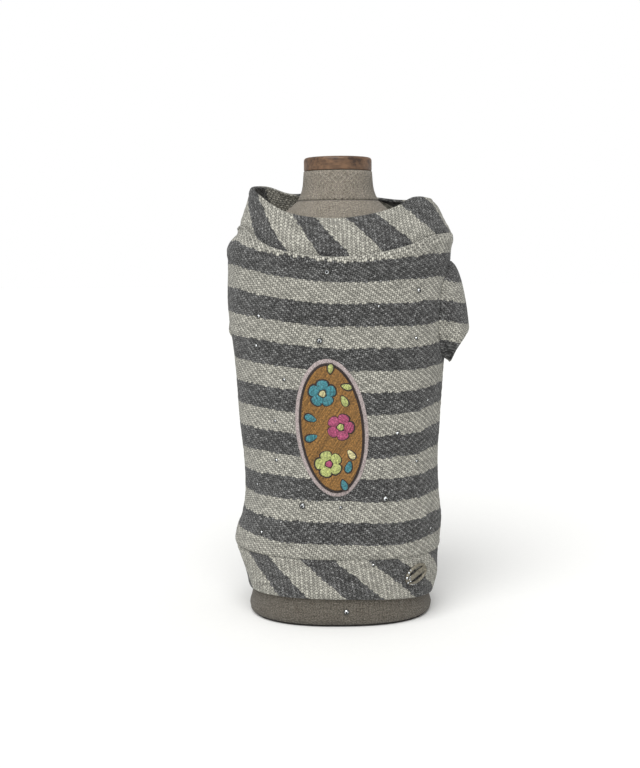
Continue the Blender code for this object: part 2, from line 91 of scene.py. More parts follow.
def new_finish(name, **surface):
    """A material with one Principled BSDF, and the values of that shader's own sockets."""
    material = bpy.data.materials.new(name)
    material.use_nodes = True
    shader = material.node_tree.nodes["Principled BSDF"]
    for socket, value in surface.items():
        shader.inputs[socket.replace("_", " ")].default_value = value
    return material, material.node_tree


def shown_on(material, colour, height=None, relief=0.0, strength=0.0):
    """Gives the material this colour, and this height as bumps of so many mm."""
    tree = material.node_tree
    shader = tree.nodes["Principled BSDF"]
    tree.links.new(colour, shader.inputs["Base Color"])
    if height is not None:
        bumps = {"Height": height, "Distance": relief * MM, "Strength": strength}
        tree.links.new(add_node(tree, "Bump", bumps), shader.inputs["Normal"])
    return material


def toned(tree, shade, value, ends, tones):
    """The shade, times a tone that goes with the value from one end to the other."""
    tone = add_node(tree, "MapRange", (value, *ends, *tones))
    return add_node(tree, "Math", (shade, tone), operation="MULTIPLY")


# %% [markdown]
# ## Loop-back terry
#
# The cloth is a cotton fleece worn with its loop side out. Cotton is matt, and its fibres
# catch a little light at the edges, which is sheen. The loops lie in slanting chains,
# because each course of stitches is shifted half a stitch against the last, and a
# stripe's edge steps from loop to loop in small scallops. One pattern draws all of
# this: the cloth is cut into slanting cells, each cell holds one loop, and the colour of
# a loop is read partly at its cell's middle. A second, smaller loop fills each corner
# between four cells. The pattern reads the piece's own "cloth" map,
# where U runs along the stripes and V across them, in metres, so it follows each fold,
# and on the bias pieces the whole pattern turns with the cut.

# %% The terry's sizes
STRIPE_REPEAT = 28.1
DARK_STRIPE = 14.3
LOOP_CELL = 2.75  # from one chain of loops to the next
LOOP_STEP = 1.6  # from one loop to the next along a chain
CHAIN_SLANT = math.radians(39.0)
STEP_SLANT = math.radians(48.0)
Loops = namedtuple("Loops", "shift long_half wide_half height")
LOOP_SETS = (Loops(0.0, 0.52, 0.36, 1.0), Loops(0.5, 0.4, 0.2, 0.7))  # in parts of a cell
LOOP_RELIEF = 0.7
WANDER = 0.8  # how far the chains wander off a straight line
WANDER_LENGTH = 13.0
FIBRE_SIZE = 0.6
FIBRE_STRETCH = 0.5
FIBRE_SLANT = math.radians(25.0)
LOOP_STEPS = 0.5  # how far a stripe's edge follows the loops' own steps, from 0 to 1
EDGE_CHANCE = 0.45
# How bright the cloth gets, beside its base colour: from the darkest to the brightest. The gaps
# beside the loops get painted shade, and the loops' tops painted light.
GAP_PAINTED_SHADE = (0.3, 0.5)  # the gaps beside the loops, in pale and in dark yarn
LOOP_TOP = 1.08
LOOP_TOP_FROM = 0.75  # the height from which a loop is fully lit
LOOP_TONES = (0.76, 1.24)
FIBRE_ENDS = (0.32, 0.68)  # a noise hardly ever leaves the middle of its range
FIBRE_TONES = (0.36, 1.5)
FIBRE_RELIEF = 0.45  # how high the fibres stand beside a loop
HEATHER = 2.1  # the power that makes the dark yarn the more uneven one


# %% One loop in each cell
def loop_set(tree, cells, level, loops):
    """One loop in each cell: its height, whether its yarn is dark, and a chance number. The
    level is the place across the stripes, in repeats, on cloth whose chains don't wander."""
    shift = (loops.shift, loops.shift, 0.0)
    moved = add_node(tree, "VectorMath", (cells, shift), operation="ADD")
    cell = add_node(tree, "VectorMath", (moved,), operation="FLOOR")
    chance = add_node(tree, "TexWhiteNoise", (cell,), noise_dimensions="2D")
    within = add_node(tree, "VectorMath", (moved, cell), operation="SUBTRACT")
    within = add_node(tree, "VectorMath", (within, (0.5, 0.5, 0.0)), operation="SUBTRACT")
    narrowing = (1.0 / loops.long_half, 1.0 / loops.wide_half, 0.0)
    squashed = add_node(tree, "VectorMath", (within, narrowing), operation="MULTIPLY")
    away = add_node(tree, "VectorMath", (squashed, squashed), "Value", operation="DOT_PRODUCT")
    dome = add_node(tree, "Math", (1.0, away), operation="SUBTRACT", use_clamp=True)
    round_top = add_node(tree, "Math", (dome, 0.5), operation="POWER")
    height = add_node(tree, "Math", (round_top, loops.height), operation="MULTIPLY")
    # A cell's middle is turned back to the cloth's V, counted in repeats of the stripe.
    to_middle = (0.5 - loops.shift, 0.5 - loops.shift, 0.0)
    middle = add_node(tree, "VectorMath", (cell, to_middle), operation="ADD")
    scale = 1.0 / (STRIPE_REPEAT * math.cos(STEP_SLANT - CHAIN_SLANT))
    back_to_v = (
        -math.sin(CHAIN_SLANT) * LOOP_STEP * scale, math.cos(STEP_SLANT) * LOOP_CELL * scale, 0.0
    )
    across = add_node(tree, "VectorMath", (middle, back_to_v), "Value", operation="DOT_PRODUCT")
    across = add_node(tree, "Mix", {0: LOOP_STEPS, 2: level, 3: across}, data_type="FLOAT")
    jag = EDGE_CHANCE / STRIPE_REPEAT
    jagged = add_node(tree, "Math", (chance, 2 * jag, across), operation="MULTIPLY_ADD")
    centred = add_node(tree, "Math", (jagged, jag), operation="SUBTRACT")
    repeat = add_node(tree, "Math", (centred,), operation="FRACT")
    is_dark = add_node(tree, "Math", (repeat, DARK_STRIPE / STRIPE_REPEAT), operation="LESS_THAN")
    return height, is_dark, chance


# %% The cells, and the cloth drawn on them
def loop_cells(tree, cloth):
    """The cloth's place counted in cells: X in loops along a chain, and Y in chains."""
    waves = {"Vector": cloth, "Scale": 1.0 / (WANDER_LENGTH * MM), "Detail": 1.0}
    wave = add_node(tree, "TexNoise", waves, "Color")
    off_line = add_node(tree, "VectorMath", (wave, (0.5, 0.5, 0.5)), operation="SUBTRACT")
    reach = (WANDER * 2 * MM,) * 3
    wandering = add_node(tree, "VectorMath", (off_line, reach, cloth), operation="MULTIPLY_ADD")
    counts = []
    for across, up, length in (
        (math.cos(STEP_SLANT), -math.sin(STEP_SLANT), LOOP_STEP * MM),
        (math.sin(CHAIN_SLANT), math.cos(CHAIN_SLANT), LOOP_CELL * MM),
    ):
        both = (wandering, (across / length, up / length, 0.0))
        counts.append(add_node(tree, "VectorMath", both, "Value", operation="DOT_PRODUCT"))
    return add_node(tree, "CombineXYZ", counts)


def terry(name, light, dark, gap_painted_shade=GAP_PAINTED_SHADE):
    """Striped loop-back terry, drawn on the piece's own cloth map."""
    material, tree = new_finish(
        name, Roughness=0.95, Sheen_Weight=0.15, Sheen_Roughness=0.5, Specular_IOR_Level=0.1
    )
    cloth = add_node(tree, "UVMap", uv_map="cloth")
    cells = loop_cells(tree, cloth)
    per_repeat = (0.0, 1.0 / (STRIPE_REPEAT * MM), 0.0)
    level = add_node(tree, "VectorMath", (cloth, per_repeat), "Value", operation="DOT_PRODUCT")
    tall, low = (loop_set(tree, cells, level, loops) for loops in LOOP_SETS)
    on_top = add_node(tree, "Math", (low[0], tall[0]), operation="GREATER_THAN")
    height, is_dark, chance = (
        add_node(tree, "Mix", {0: on_top, 2: a, 3: b}, data_type="FLOAT")
        for a, b in zip(tall, low)
    )
    turned = add_node(tree, "Mapping", {"Vector": cloth, "Rotation": (0.0, 0.0, FIBRE_SLANT)})
    stretch = (FIBRE_STRETCH, 1.0, 1.0)
    drawn_out = add_node(tree, "VectorMath", (turned, stretch), operation="MULTIPLY")
    fibres = {"Vector": drawn_out, "Scale": 1.0 / (FIBRE_SIZE * MM), "Detail": 2.0}
    fibre = add_node(tree, "TexNoise", {**fibres, "Roughness": 0.7})
    # Painted shade in the gaps beside the loops, and painted light on the loops' tops, by each
    # loop's height.
    gap = add_node(tree, "Mix", {0: is_dark, 2: gap_painted_shade[0], 3: gap_painted_shade[1]})
    shade = add_node(tree, "MapRange", (height, 0.0, LOOP_TOP_FROM, gap, LOOP_TOP))
    shade = toned(tree, shade, chance, (0.0, 1.0), LOOP_TONES)
    shade = toned(tree, shade, fibre, FIBRE_ENDS, FIBRE_TONES)
    # The dark yarn is heathered: its own pale and black fibres make it the more uneven one. The
    # same power also deepens the painted shade and painted light on it.
    power = add_node(tree, "MapRange", (is_dark, 0.0, 1.0, 1.0, HEATHER))
    shade = add_node(tree, "Math", (shade, power), operation="POWER")
    yarns = {0: is_dark, 6: linear(light), 7: linear(dark)}
    stripe = add_node(tree, "Mix", yarns, 2, data_type="RGBA")
    colour = add_node(tree, "VectorMath", (stripe, shade), operation="MULTIPLY")
    rough = add_node(tree, "Math", (fibre, FIBRE_RELIEF, height), operation="MULTIPLY_ADD")
    return shown_on(material, colour, rough, LOOP_RELIEF, strength=0.9)


# %% Make the two lots of terry
striped_terry = terry("loop_back_cotton_terry", light="AEACA2", dark="5F5F5E")
bias_terry = terry(
    "loop_back_cotton_terry_on_the_bias", light="ACAAA0", dark="5D5D5C", gap_painted_shade=(0.42, 0.62)
)
print("terry:", STRIPE_REPEAT, "mm repeat, loops every", LOOP_CELL, "mm")

# %% [markdown]
# ## Linen, wood and board
#
# The form is covered in natural linen, a plain weave of uneven flax yarns, dull and dry
# to the eye. Warp and weft pass over each other in turn, so each small square shows one
# of the two as a short round ridge. Thicker stretches of yarn, called slubs, show as
# longer pale and dark streaks both ways. Real threads are about 0.6 mm apart. They are
# drawn at 0.95 mm here, as coarse as they need to be to show. The foot is darker than
# the rest: painted shade, under the band and away from the light above.

# %% The linen's sizes
LINEN_THREAD = 0.95
LINEN_RELIEF = 0.3
SLUB_STRETCH = 0.07
SLUBS_PER_THREAD = 1.5
SLUB_ENDS = (0.32, 0.66)
NUB_SIZE = 0.9
NUB_ENDS = (0.34, 0.66)
NUB_TONES = (0.5, 1.5)
RIDGE_TONES = (0.56, 1.12)
FOOT_PAINTED_SHADE = 0.50  # how bright the foot is beside the linen above: painted shade, darker towards the foot
FOOT_PAINTED_SHADE_HEIGHTS = (30.0, 200.0)
NECK_SEAM_Z = 276.0
SEAM_SHADE_WAVER = 1.6
SEAM_SHADE_EDGES = (0.15, 0.75)
SEAM_PAINTED_SHADE = 0.35


# %% Linen
def linen_cover(name, colour, slub_dark):
    material, tree = new_finish(
        name, Roughness=0.9, Sheen_Weight=0.12, Sheen_Roughness=0.5, Specular_IOR_Level=0.2
    )
    cloth = add_node(tree, "UVMap", uv_map="cloth")
    per_thread = (1.0 / (LINEN_THREAD * MM),) * 3
    threads = add_node(tree, "VectorMath", (cloth, per_thread), operation="MULTIPLY")
    ridges, cells, slubs = [], [], []
    for axis, stretch in (("X", (1.0, SLUB_STRETCH, 1.0)), ("Y", (SLUB_STRETCH, 1.0, 1.0))):
        count = add_node(tree, "SeparateXYZ", (threads,), axis)
        turn = add_node(tree, "Math", (count, math.pi), operation="MULTIPLY")
        wave = add_node(tree, "Math", (turn,), operation="SINE")
        ridges.append(add_node(tree, "Math", (wave,), operation="ABSOLUTE"))
        cells.append(add_node(tree, "Math", (count,), operation="FLOOR"))
        drawn_out = add_node(tree, "VectorMath", (threads, stretch), operation="MULTIPLY")
        streaks = {"Vector": drawn_out, "Scale": SLUBS_PER_THREAD, "Detail": 2.0}
        slubs.append(add_node(tree, "TexNoise", streaks))
    cell = add_node(tree, "Math", cells, operation="ADD")
    half = add_node(tree, "Math", (cell, 0.5), operation="MULTIPLY")
    odd = add_node(tree, "Math", (half,), operation="FRACT")
    warp_on_top = add_node(tree, "Math", (odd, 0.25), operation="GREATER_THAN")
    ridge, slub = (
        add_node(tree, "Mix", {0: warp_on_top, 2: weft, 3: warp}, data_type="FLOAT")
        for warp, weft in (ridges, slubs)
    )
    nubs = {"Vector": cloth, "Scale": 1.0 / (NUB_SIZE * MM), "Detail": 2.0}
    nub = add_node(tree, "TexNoise", nubs)
    place = add_node(tree, "TexCoord", out="Object")
    height = add_node(tree, "SeparateXYZ", (place,), "Z")
    # Painted shade along the seam round the neck: the linen is darkened in its groove, and the
    # darkened edge wavers.
    waver = add_node(tree, "Math", (nub, SEAM_SHADE_WAVER * MM, height), operation="MULTIPLY_ADD")
    seam = (NECK_SEAM_Z + SEAM_SHADE_WAVER / 2) * MM
    past_seam = add_node(tree, "Math", (waver, seam), operation="SUBTRACT")
    off_seam = add_node(tree, "Math", (past_seam,), operation="ABSOLUTE")
    # Painted shade between the threads: the weave's low places are darker, by the same ridges as
    # its bumps.
    shade = add_node(tree, "MapRange", (ridge, 0.0, 1.0, *RIDGE_TONES))
    shade = toned(tree, shade, nub, NUB_ENDS, NUB_TONES)
    # Painted shade: the linen gets darker towards the foot, under the band.
    shade = toned(tree, shade, height, [z * MM for z in FOOT_PAINTED_SHADE_HEIGHTS], (FOOT_PAINTED_SHADE, 1.0))
    seam_ends = [edge * MM for edge in SEAM_SHADE_EDGES]
    # The painted shade in the neck seam's groove.
    shade = toned(tree, shade, off_seam, seam_ends, (SEAM_PAINTED_SHADE, 1.0))
    yarn = add_node(tree, "MapRange", (slub, *SLUB_ENDS, 0.0, 1.0))
    yarns = {0: yarn, 6: linear(slub_dark), 7: linear(colour)}
    flax = add_node(tree, "Mix", yarns, 2, data_type="RGBA")
    shaded = add_node(tree, "VectorMath", (flax, shade), operation="MULTIPLY")
    return shown_on(material, shaded, ridge, LINEN_RELIEF, strength=0.8)


linen = linen_cover("natural_linen_plain_weave", colour="9F988C", slub_dark="6F675B")
print("linen: threads", LINEN_THREAD, "mm apart")

# %% [markdown]
# The neck cap is a turned disc of brown hardwood with a satin varnish, so it has a low,
# soft gleam. Its grain is drawn by a noise that is stretched along the plank, over broad
# warmer and darker patches. The foot of the form is closed by a thin, dark board. Its
# tone only varies a little, and so does that of many plain things here, so one function
# makes them all.

# %% Wood and plain things
GRAIN_WIDTH = 1.3
GRAIN_RELIEF = 0.12
PLANK_STRETCH = (0.16, 1.0, 0.7)
BLOTCH_SIZE = 7.7
BLOTCH_SHARE = 0.45
GRAIN_ENDS = (0.36, 0.62)
SPECK_ENDS = (0.3, 0.7)


def turned_wood(name, pale, deep):
    material, tree = new_finish(
        name, Roughness=0.5, Coat_Weight=0.15, Coat_Roughness=0.35, Specular_IOR_Level=0.4
    )
    place = add_node(tree, "TexCoord", out="Object")
    plank = add_node(tree, "Mapping", {"Vector": place, "Scale": PLANK_STRETCH})
    grains = {"Vector": plank, "Scale": 1.0 / (GRAIN_WIDTH * MM), "Detail": 3.0}
    grain = add_node(tree, "TexNoise", {**grains, "Distortion": 0.6})
    blotches = {"Vector": place, "Scale": 1.0 / (BLOTCH_SIZE * MM), "Detail": 1.0}
    blotch = add_node(tree, "TexNoise", blotches)
    tone = add_node(tree, "Mix", {0: BLOTCH_SHARE, 2: grain, 3: blotch}, data_type="FLOAT")
    tones = add_node(tree, "ValToRGB", (tone,))
    for end, position, colour in zip((0, 1), GRAIN_ENDS, (deep, pale)):
        tones.node.color_ramp.elements[end].position = position
        tones.node.color_ramp.elements[end].color = linear(colour)
    return shown_on(material, tones, grain, GRAIN_RELIEF, strength=0.5)


def mottled(name, colour, grain, spread, relief=0.0, **surface):
    """A plain material whose tone varies by a noise: its grain in mm, its spread a share."""
    material, tree = new_finish(name, **surface)
    place = add_node(tree, "TexCoord", out="Object")
    specks = {"Vector": place, "Scale": 1.0 / (grain * MM), "Detail": 2.0}
    speck = add_node(tree, "TexNoise", specks)
    tone = add_node(tree, "MapRange", (speck, *SPECK_ENDS, 1.0 - spread, 1.0 + spread))
    shaded = add_node(tree, "VectorMath", (linear(colour)[:3], tone), operation="MULTIPLY")
    return shown_on(material, shaded, speck if relief else None, relief, strength=0.5)


cap_wood = turned_wood("turned_hardwood_brown_stain", pale="785A41", deep="3C2A1E")
# The board is real, and its near-black colour is also painted shadow: the dark line under the
# form's foot.
board = mottled("dark_hardboard_painted_shadow", "262320", grain=1.1, spread=0.16, Roughness=0.7)
print("wood: grain about", GRAIN_WIDTH, "mm wide")

# %% [markdown]
# ## The shapes under the cloth
#
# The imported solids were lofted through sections, and the finer pieces here repeat the
# same sections, so that they lie where the solids are. A form section is a level ring.
# A ring of cloth is written by its height in front, left, right and behind, and by how
# far it reaches each way. Its first number is its place in the table: for the body that
# is the height of its front, and for collar and band a share from seam to fold.

# %% Section tables of the form and of the cloth
Form = namedtuple("Form", "key half_width y_front y_back squareness")
Ring = namedtuple(
    "Ring", "key z_front z_left z_right z_back x_left x_right y_front y_back squareness"
)
Cowl = namedtuple("Cowl", "key rise x_left x_right y_front y_back squareness")
Brim = namedtuple("Brim", "angle seam fold")
Fold = namedtuple("Fold", "angle low high half_angle depth lean")

FORM_SECTIONS = [
    Form(1.9, 61.6, -48.6, 46.0, 2.4),
    Form(4.5, 62.2, -49.6, 46.8, 2.4),
    Form(11.0, 60.4, -50.3, 47.6, 2.45),
    Form(22.0, 59.6, -50.2, 48.0, 2.5),
    Form(55.0, 59.6, -49.6, 48.2, 2.45),
    Form(92.0, 60.0, -49.2, 48.4, 2.4),
    Form(130.0, 63.0, -50.2, 49.6, 2.35),
    Form(165.0, 65.4, -51.6, 51.2, 2.3),
    Form(198.0, 67.6, -52.6, 52.2, 2.3),
    Form(222.0, 68.2, -52.4, 51.6, 2.3),
    Form(238.0, 65.4, -49.6, 49.0, 2.3),
    Form(249.0, 58.8, -44.2, 44.2, 2.25),
    Form(258.0, 50.0, -38.2, 38.8, 2.2),
    Form(265.0, 41.0, -32.8, 34.2, 2.1),
    Form(270.5, 33.0, -28.6, 29.8, 2.05),
    Form(276.0, 27.2, -25.2, 26.0, 2.0),
    Form(283.0, 23.9, -23.5, 23.6, 2.0),
    Form(295.0, 22.6, -22.6, 22.6, 2.0),
]
BODY_RINGS = [
    Ring(46.1, 46.1, 47.7, 44.5, 44.6, -71.0, 66.8, -53.2, 51.6, 2.45),
    Ring(54.0, 54.0, 55.2, 52.8, 52.8, -70.8, 67.8, -54.2, 52.8, 2.4),
    Ring(65.0, 65.0, 65.8, 64.4, 64.4, -66.8, 68.6, -54.2, 53.0, 2.4),
    Ring(82.0, 82.0, 82.4, 81.4, 82.0, -64.2, 66.8, -53.0, 52.2, 2.4),
    Ring(104.0, 104.0, 104.0, 104.0, 104.0, -64.6, 66.0, -52.6, 52.0, 2.35),
    Ring(125.0, 125.0, 126.5, 126.0, 126.0, -66.8, 67.2, -53.4, 52.8, 2.35),
    Ring(150.0, 150.0, 153.0, 151.0, 152.0, -69.0, 68.8, -54.8, 54.0, 2.3),
    Ring(172.0, 172.0, 176.5, 172.5, 175.0, -71.2, 70.2, -56.0, 55.2, 2.3),
    Ring(200.0, 200.0, 206.0, 201.0, 204.0, -74.0, 72.4, -56.6, 56.0, 2.3),
    Ring(222.0, 222.0, 231.0, 223.5, 227.0, -73.4, 73.8, -56.6, 55.8, 2.3),
    Ring(229.0, 229.0, 239.5, 231.4, 235.0, -74.0, 74.2, -55.8, 55.2, 2.3),
    Ring(235.0, 235.0, 247.0, 238.5, 242.0, -71.6, 74.7, -54.8, 54.4, 2.3),
    Ring(240.3, 240.3, 253.4, 245.0, 248.0, -67.2, 76.2, -53.2, 53.0, 2.3),
]
COLLAR_RINGS = [
    Cowl(0.0, 0.0, -66.8, 76.0, -52.8, 52.8, 2.3),
    Cowl(0.15, 0.148, -65.4, 75.0, -50.8, 51.0, 2.3),
    Cowl(0.35, 0.38, -63.2, 71.8, -48.0, 48.4, 2.25),
    Cowl(0.58, 0.62, -60.8, 68.6, -45.2, 45.6, 2.2),
    Cowl(0.80, 0.843, -59.2, 65.8, -42.5, 43.2, 2.2),
    Cowl(0.93, 0.954, -58.8, 63.9, -40.7, 41.6, 2.2),
    Cowl(1.0, 1.0, -58.2, 62.8, -39.4, 40.2, 2.2),
]
BAND_RINGS = [
    Ring(0.0, 20.8, 18.5, 14.5, 14.0, -62.6, 63.2, -53.0, 51.0, 2.5),
    Ring(0.35, 29.6, 28.5, 25.0, 24.4, -64.7, 66.0, -52.9, 51.0, 2.5),
    Ring(0.70, 38.0, 38.4, 35.2, 34.6, -68.0, 66.2, -52.7, 51.0, 2.5),
    Ring(1.0, 45.6, 46.9, 44.0, 44.1, -70.4, 66.4, -53.0, 51.2, 2.45),
]
# Heights of the neck seam and of the collar's fold, by degrees round the garment.
NECK_LINES = [
    Brim(0.0, 254.5, 274.8), Brim(25.0, 253.0, 275.4), Brim(50.0, 250.5, 276.2),
    Brim(75.0, 249.2, 279.4), Brim(100.0, 249.6, 282.0), Brim(122.0, 251.5, 280.8),
    Brim(145.0, 254.6, 285.1), Brim(165.0, 257.6, 285.0), Brim(185.0, 259.8, 283.0),
    Brim(205.0, 259.3, 278.0), Brim(220.0, 253.4, 272.0), Brim(235.0, 246.4, 266.8),
    Brim(250.0, 242.4, 263.6), Brim(270.0, 239.9, 262.4), Brim(290.0, 243.2, 265.4),
    Brim(305.0, 247.4, 269.6), Brim(320.0, 252.6, 275.6), Brim(340.0, 254.4, 275.4),
]
before_first = [row._replace(angle=row.angle - 360.0) for row in NECK_LINES[-2:]]
after_last = [row._replace(angle=row.angle + 360.0) for row in NECK_LINES[:2]]


# %% Read a point from the tables
@lru_cache(maxsize=None)
def section_at(rings, key):
    """A row between a table's rows, on a smooth curve through them in their first column."""
    table = TABLES[rings]
    last = len(table) - 1
    key = min(max(key, table[0][0]), table[last][0])
    i = max(j for j in range(last) if table[j][0] <= key)
    before, low, high, after = (table[min(max(j, 0), last)] for j in range(i - 1, i + 3))
    span = high[0] - low[0]
    t = (key - low[0]) / span
    t2, t3 = t * t, t * t * t
    values = []
    for k in range(1, len(low)):
        slope_low = (high[k] - before[k]) / (high[0] - before[0]) * span
        slope_high = (after[k] - low[k]) / (after[0] - low[0]) * span
        values.append(
            (2 * t3 - 3 * t2 + 1) * low[k]
            + (t3 - 2 * t2 + t) * slope_low
            + (3 * t2 - 2 * t3) * high[k]
            + (t3 - t2) * slope_high
        )
    return type(low)(key, *values)


def rounded_square(value, squareness):
    """A sine or cosine, flattened towards the sides of a rounded square."""
    return math.copysign(abs(value) ** (2.0 / squareness), value)


def ring_point(ring, degrees):
    """A point of a ring of cloth in metres. 0 degrees is at +X, and 270 is in front."""
    angle = math.radians(degrees)
    cosine, sine = math.cos(angle), math.sin(angle)
    x = abs(ring.x_right if cosine > 0 else ring.x_left) * rounded_square(cosine, ring.squareness)
    y = abs(ring.y_back if sine > 0 else ring.y_front) * rounded_square(sine, ring.squareness)
    mean = (ring.z_right + ring.z_back + ring.z_left + ring.z_front) / 4
    along_x = (ring.z_right - ring.z_left) / 2
    along_y = (ring.z_back - ring.z_front) / 2
    twist = (ring.z_right + ring.z_left - ring.z_back - ring.z_front) / 4
    z = mean + along_x * cosine + along_y * sine + twist * math.cos(2 * angle)
    return Vector((x, y, z)) * MM


def pushed_out(point, distance):
    """The point moved level away from the form's axis."""
    level = Vector((point.x, point.y, 0.0))
    return point + level.normalized() * distance


TABLES = {
    "form": FORM_SECTIONS,
    "body": BODY_RINGS,
    "collar": COLLAR_RINGS,
    "band": BAND_RINGS,
    "neck": before_first + NECK_LINES + after_last,
}
print("sections:", {name: len(table) for name, table in TABLES.items()})

# %% [markdown]
# ## Folds, listed one by one
#
# Worn cloth pulls and slackens in soft troughs and ridges. Each fold below is one line:
# where it lies round the body, how high it starts and ends, how wide and deep it is, and
# how far it leans on the way up. A negative depth is a trough. The body's and the
# collar's first lines are those of the solids. The later ones, and all of the band's, are
# finer creases that only the eye needs. The sides that the usual view hides have their
# own, as uneven as the others.

# %% Fold tables
BODY_FOLDS = [
    Fold(336.0, 96.0, 176.0, 9.0, -1.3, 14.0),
    Fold(205.0, 52.0, 128.0, 10.0, -1.2, -16.0),
    Fold(186.0, 130.0, 212.0, 10.0, -0.9, 6.0),
    Fold(30.0, 62.0, 170.0, 9.0, 1.3, -14.0),
    Fold(62.0, 70.0, 188.0, 10.0, -1.2, 12.0),
    Fold(92.0, 56.0, 150.0, 10.0, 1.5, -8.0),
    Fold(118.0, 84.0, 196.0, 11.0, -1.2, 10.0),
    # Finer creases.
    Fold(328.0, 50.0, 92.0, 5.0, -0.7, 12.0),
    Fold(318.0, 58.0, 120.0, 6.0, 0.5, -10.0),
    Fold(344.0, 60.0, 110.0, 5.0, 0.7, 8.0),
    Fold(335.0, 186.0, 236.0, 4.5, -0.9, -8.0),
    Fold(327.0, 176.0, 228.0, 5.0, 0.5, 10.0),
    Fold(196.0, 190.0, 240.0, 6.0, -0.6, 8.0),
    Fold(214.0, 196.0, 238.0, 7.0, 0.5, -10.0),
    Fold(216.0, 48.0, 84.0, 6.0, 0.6, 16.0),
    Fold(250.0, 46.0, 72.0, 9.0, 0.35, -8.0),
    Fold(292.0, 46.0, 70.0, 8.0, 0.4, 8.0),
    Fold(14.0, 70.0, 150.0, 5.0, -0.7, 8.0),
    Fold(44.0, 120.0, 214.0, 6.0, 0.8, 10.0),
    Fold(76.0, 96.0, 170.0, 5.0, 0.6, -8.0),
    Fold(104.0, 150.0, 232.0, 7.0, -0.7, -10.0),
    Fold(150.0, 60.0, 142.0, 7.0, 0.9, 12.0),
    Fold(168.0, 96.0, 176.0, 6.0, -0.8, -10.0),
    Fold(128.0, 52.0, 92.0, 6.0, 0.7, 8.0),
]
# Here low and high are shares of the collar's rise from its seam to its fold.
COLLAR_FOLDS = [
    Fold(214.0, 0.2, 1.2, 15.0, -1.4, 12.0),
    Fold(338.0, 0.3, 1.3, 13.0, 1.5, -10.0),
    Fold(300.0, 0.1, 1.1, 14.0, -1.2, 10.0),
    Fold(38.0, 0.2, 1.2, 14.0, -1.5, 8.0),
    Fold(88.0, 0.3, 1.3, 16.0, 1.4, 0.0),
    Fold(142.0, 0.2, 1.2, 15.0, -1.6, -8.0),
    # Finer creases.
    Fold(232.0, 0.0, 0.9, 7.0, -0.6, 14.0),
    Fold(262.0, 0.1, 0.8, 9.0, 0.4, -10.0),
    Fold(322.0, 0.0, 0.8, 7.0, -0.7, -12.0),
    Fold(66.0, 0.0, 0.9, 7.0, 0.7, 10.0),
    Fold(112.0, 0.1, 1.0, 8.0, -0.7, -12.0),
    Fold(172.0, 0.0, 0.9, 8.0, 0.6, 12.0),
]
BAND_FOLDS = [
    Fold(316.0, 0.2, 1.3, 9.0, 0.3, 6.0),
    Fold(22.0, 0.1, 1.3, 7.0, 0.6, -6.0),
    Fold(58.0, 0.0, 1.2, 8.0, 0.5, 6.0),
    Fold(104.0, 0.1, 1.3, 8.0, 0.6, 8.0),
    Fold(146.0, 0.0, 1.2, 7.0, 0.5, -8.0),
]


def fold_depth(folds, degrees, height):
    """How far the folds push the cloth outwards here, in metres."""
    depth = 0.0
    for fold in folds:
        share = (height - fold.low) / (fold.high - fold.low)
        if 0.0 < share < 1.0:
            centre = fold.angle + fold.lean * (share - 0.5)
            off = (degrees - centre + 180.0) % 360.0 - 180.0
            across = math.exp(-((off / fold.half_angle) ** 2))
            along = math.sin(math.pi * share) ** 2
            depth += fold.depth * across * along
    return depth * MM


print("folds:", len(BODY_FOLDS), "body,", len(COLLAR_FOLDS), "collar,", len(BAND_FOLDS), "band")

# %% [markdown]
# ## Laying a cut piece of cloth
#
# Every cloth piece starts as Blender's grid primitive, which is the flat cut piece, and
# its points are then laid on the form row by row, like pinning a pattern piece on. Each
# point also gets its place on the flat cloth, so that stripes and loops follow the cut.
# A tube is a grid whose two ends meet, and merging their points sews them together.
# Solidify then gives the cloth its thickness, towards the inside.


# %% Functions that lay cloth
FUZZ = ((2.6, 1.0), (1.3, 0.6))  # the sizes of the cloth's small bumps, and their shares
SEAM_CREST_AT = 2.4
SEAM_CREST_WIDTH = 1.4
SEAM_TUCK_WIDTH = 0.9
MERGE_WITHIN = 0.02
CLOTH_FUZZ = 0.24


def select_only(*pieces):
    """Selects these pieces and nothing else, and makes the first one active."""
    if bpy.context.object and bpy.context.object.mode != "OBJECT":
        bpy.ops.object.mode_set(mode="OBJECT")
    bpy.ops.object.select_all(action="DESELECT")
    for piece in pieces:
        piece.select_set(True)
    if pieces:
        bpy.context.view_layer.objects.active = pieces[0]


def apply_modifier(piece, kind, **settings):
    """Adds a modifier to the piece and applies it."""
    modifier = piece.modifiers.new(kind.lower(), kind)
    for name, value in settings.items():
        setattr(modifier, name, value)
    bpy.context.view_layer.objects.active = piece
    bpy.ops.object.modifier_apply(modifier=modifier.name)


def sew_ends(piece):
    """Merges points that lie on each other, as where a tube's two ends meet."""
    select_only(piece)
    bpy.ops.object.mode_set(mode="EDIT")
    bpy.ops.mesh.select_all(action="SELECT")
    bpy.ops.mesh.remove_doubles(threshold=MERGE_WITHIN * MM)
    bpy.ops.object.mode_set(mode="OBJECT")


def flat_grid(name, up, across):
    """A flat grid with a cloth map, and the row and the column of each of its points."""
    select_only()
    bpy.ops.mesh.primitive_grid_add(x_subdivisions=across, y_subdivisions=up, size=1.0)
    piece = bpy.context.object
    piece.name = piece.data.name = name
    piece.data.uv_layers.active.name = "cloth"
    grid = [
        (round((v.co.y + 0.5) * up), round((v.co.x + 0.5) * across))
        for v in piece.data.vertices
    ]
    return piece, grid


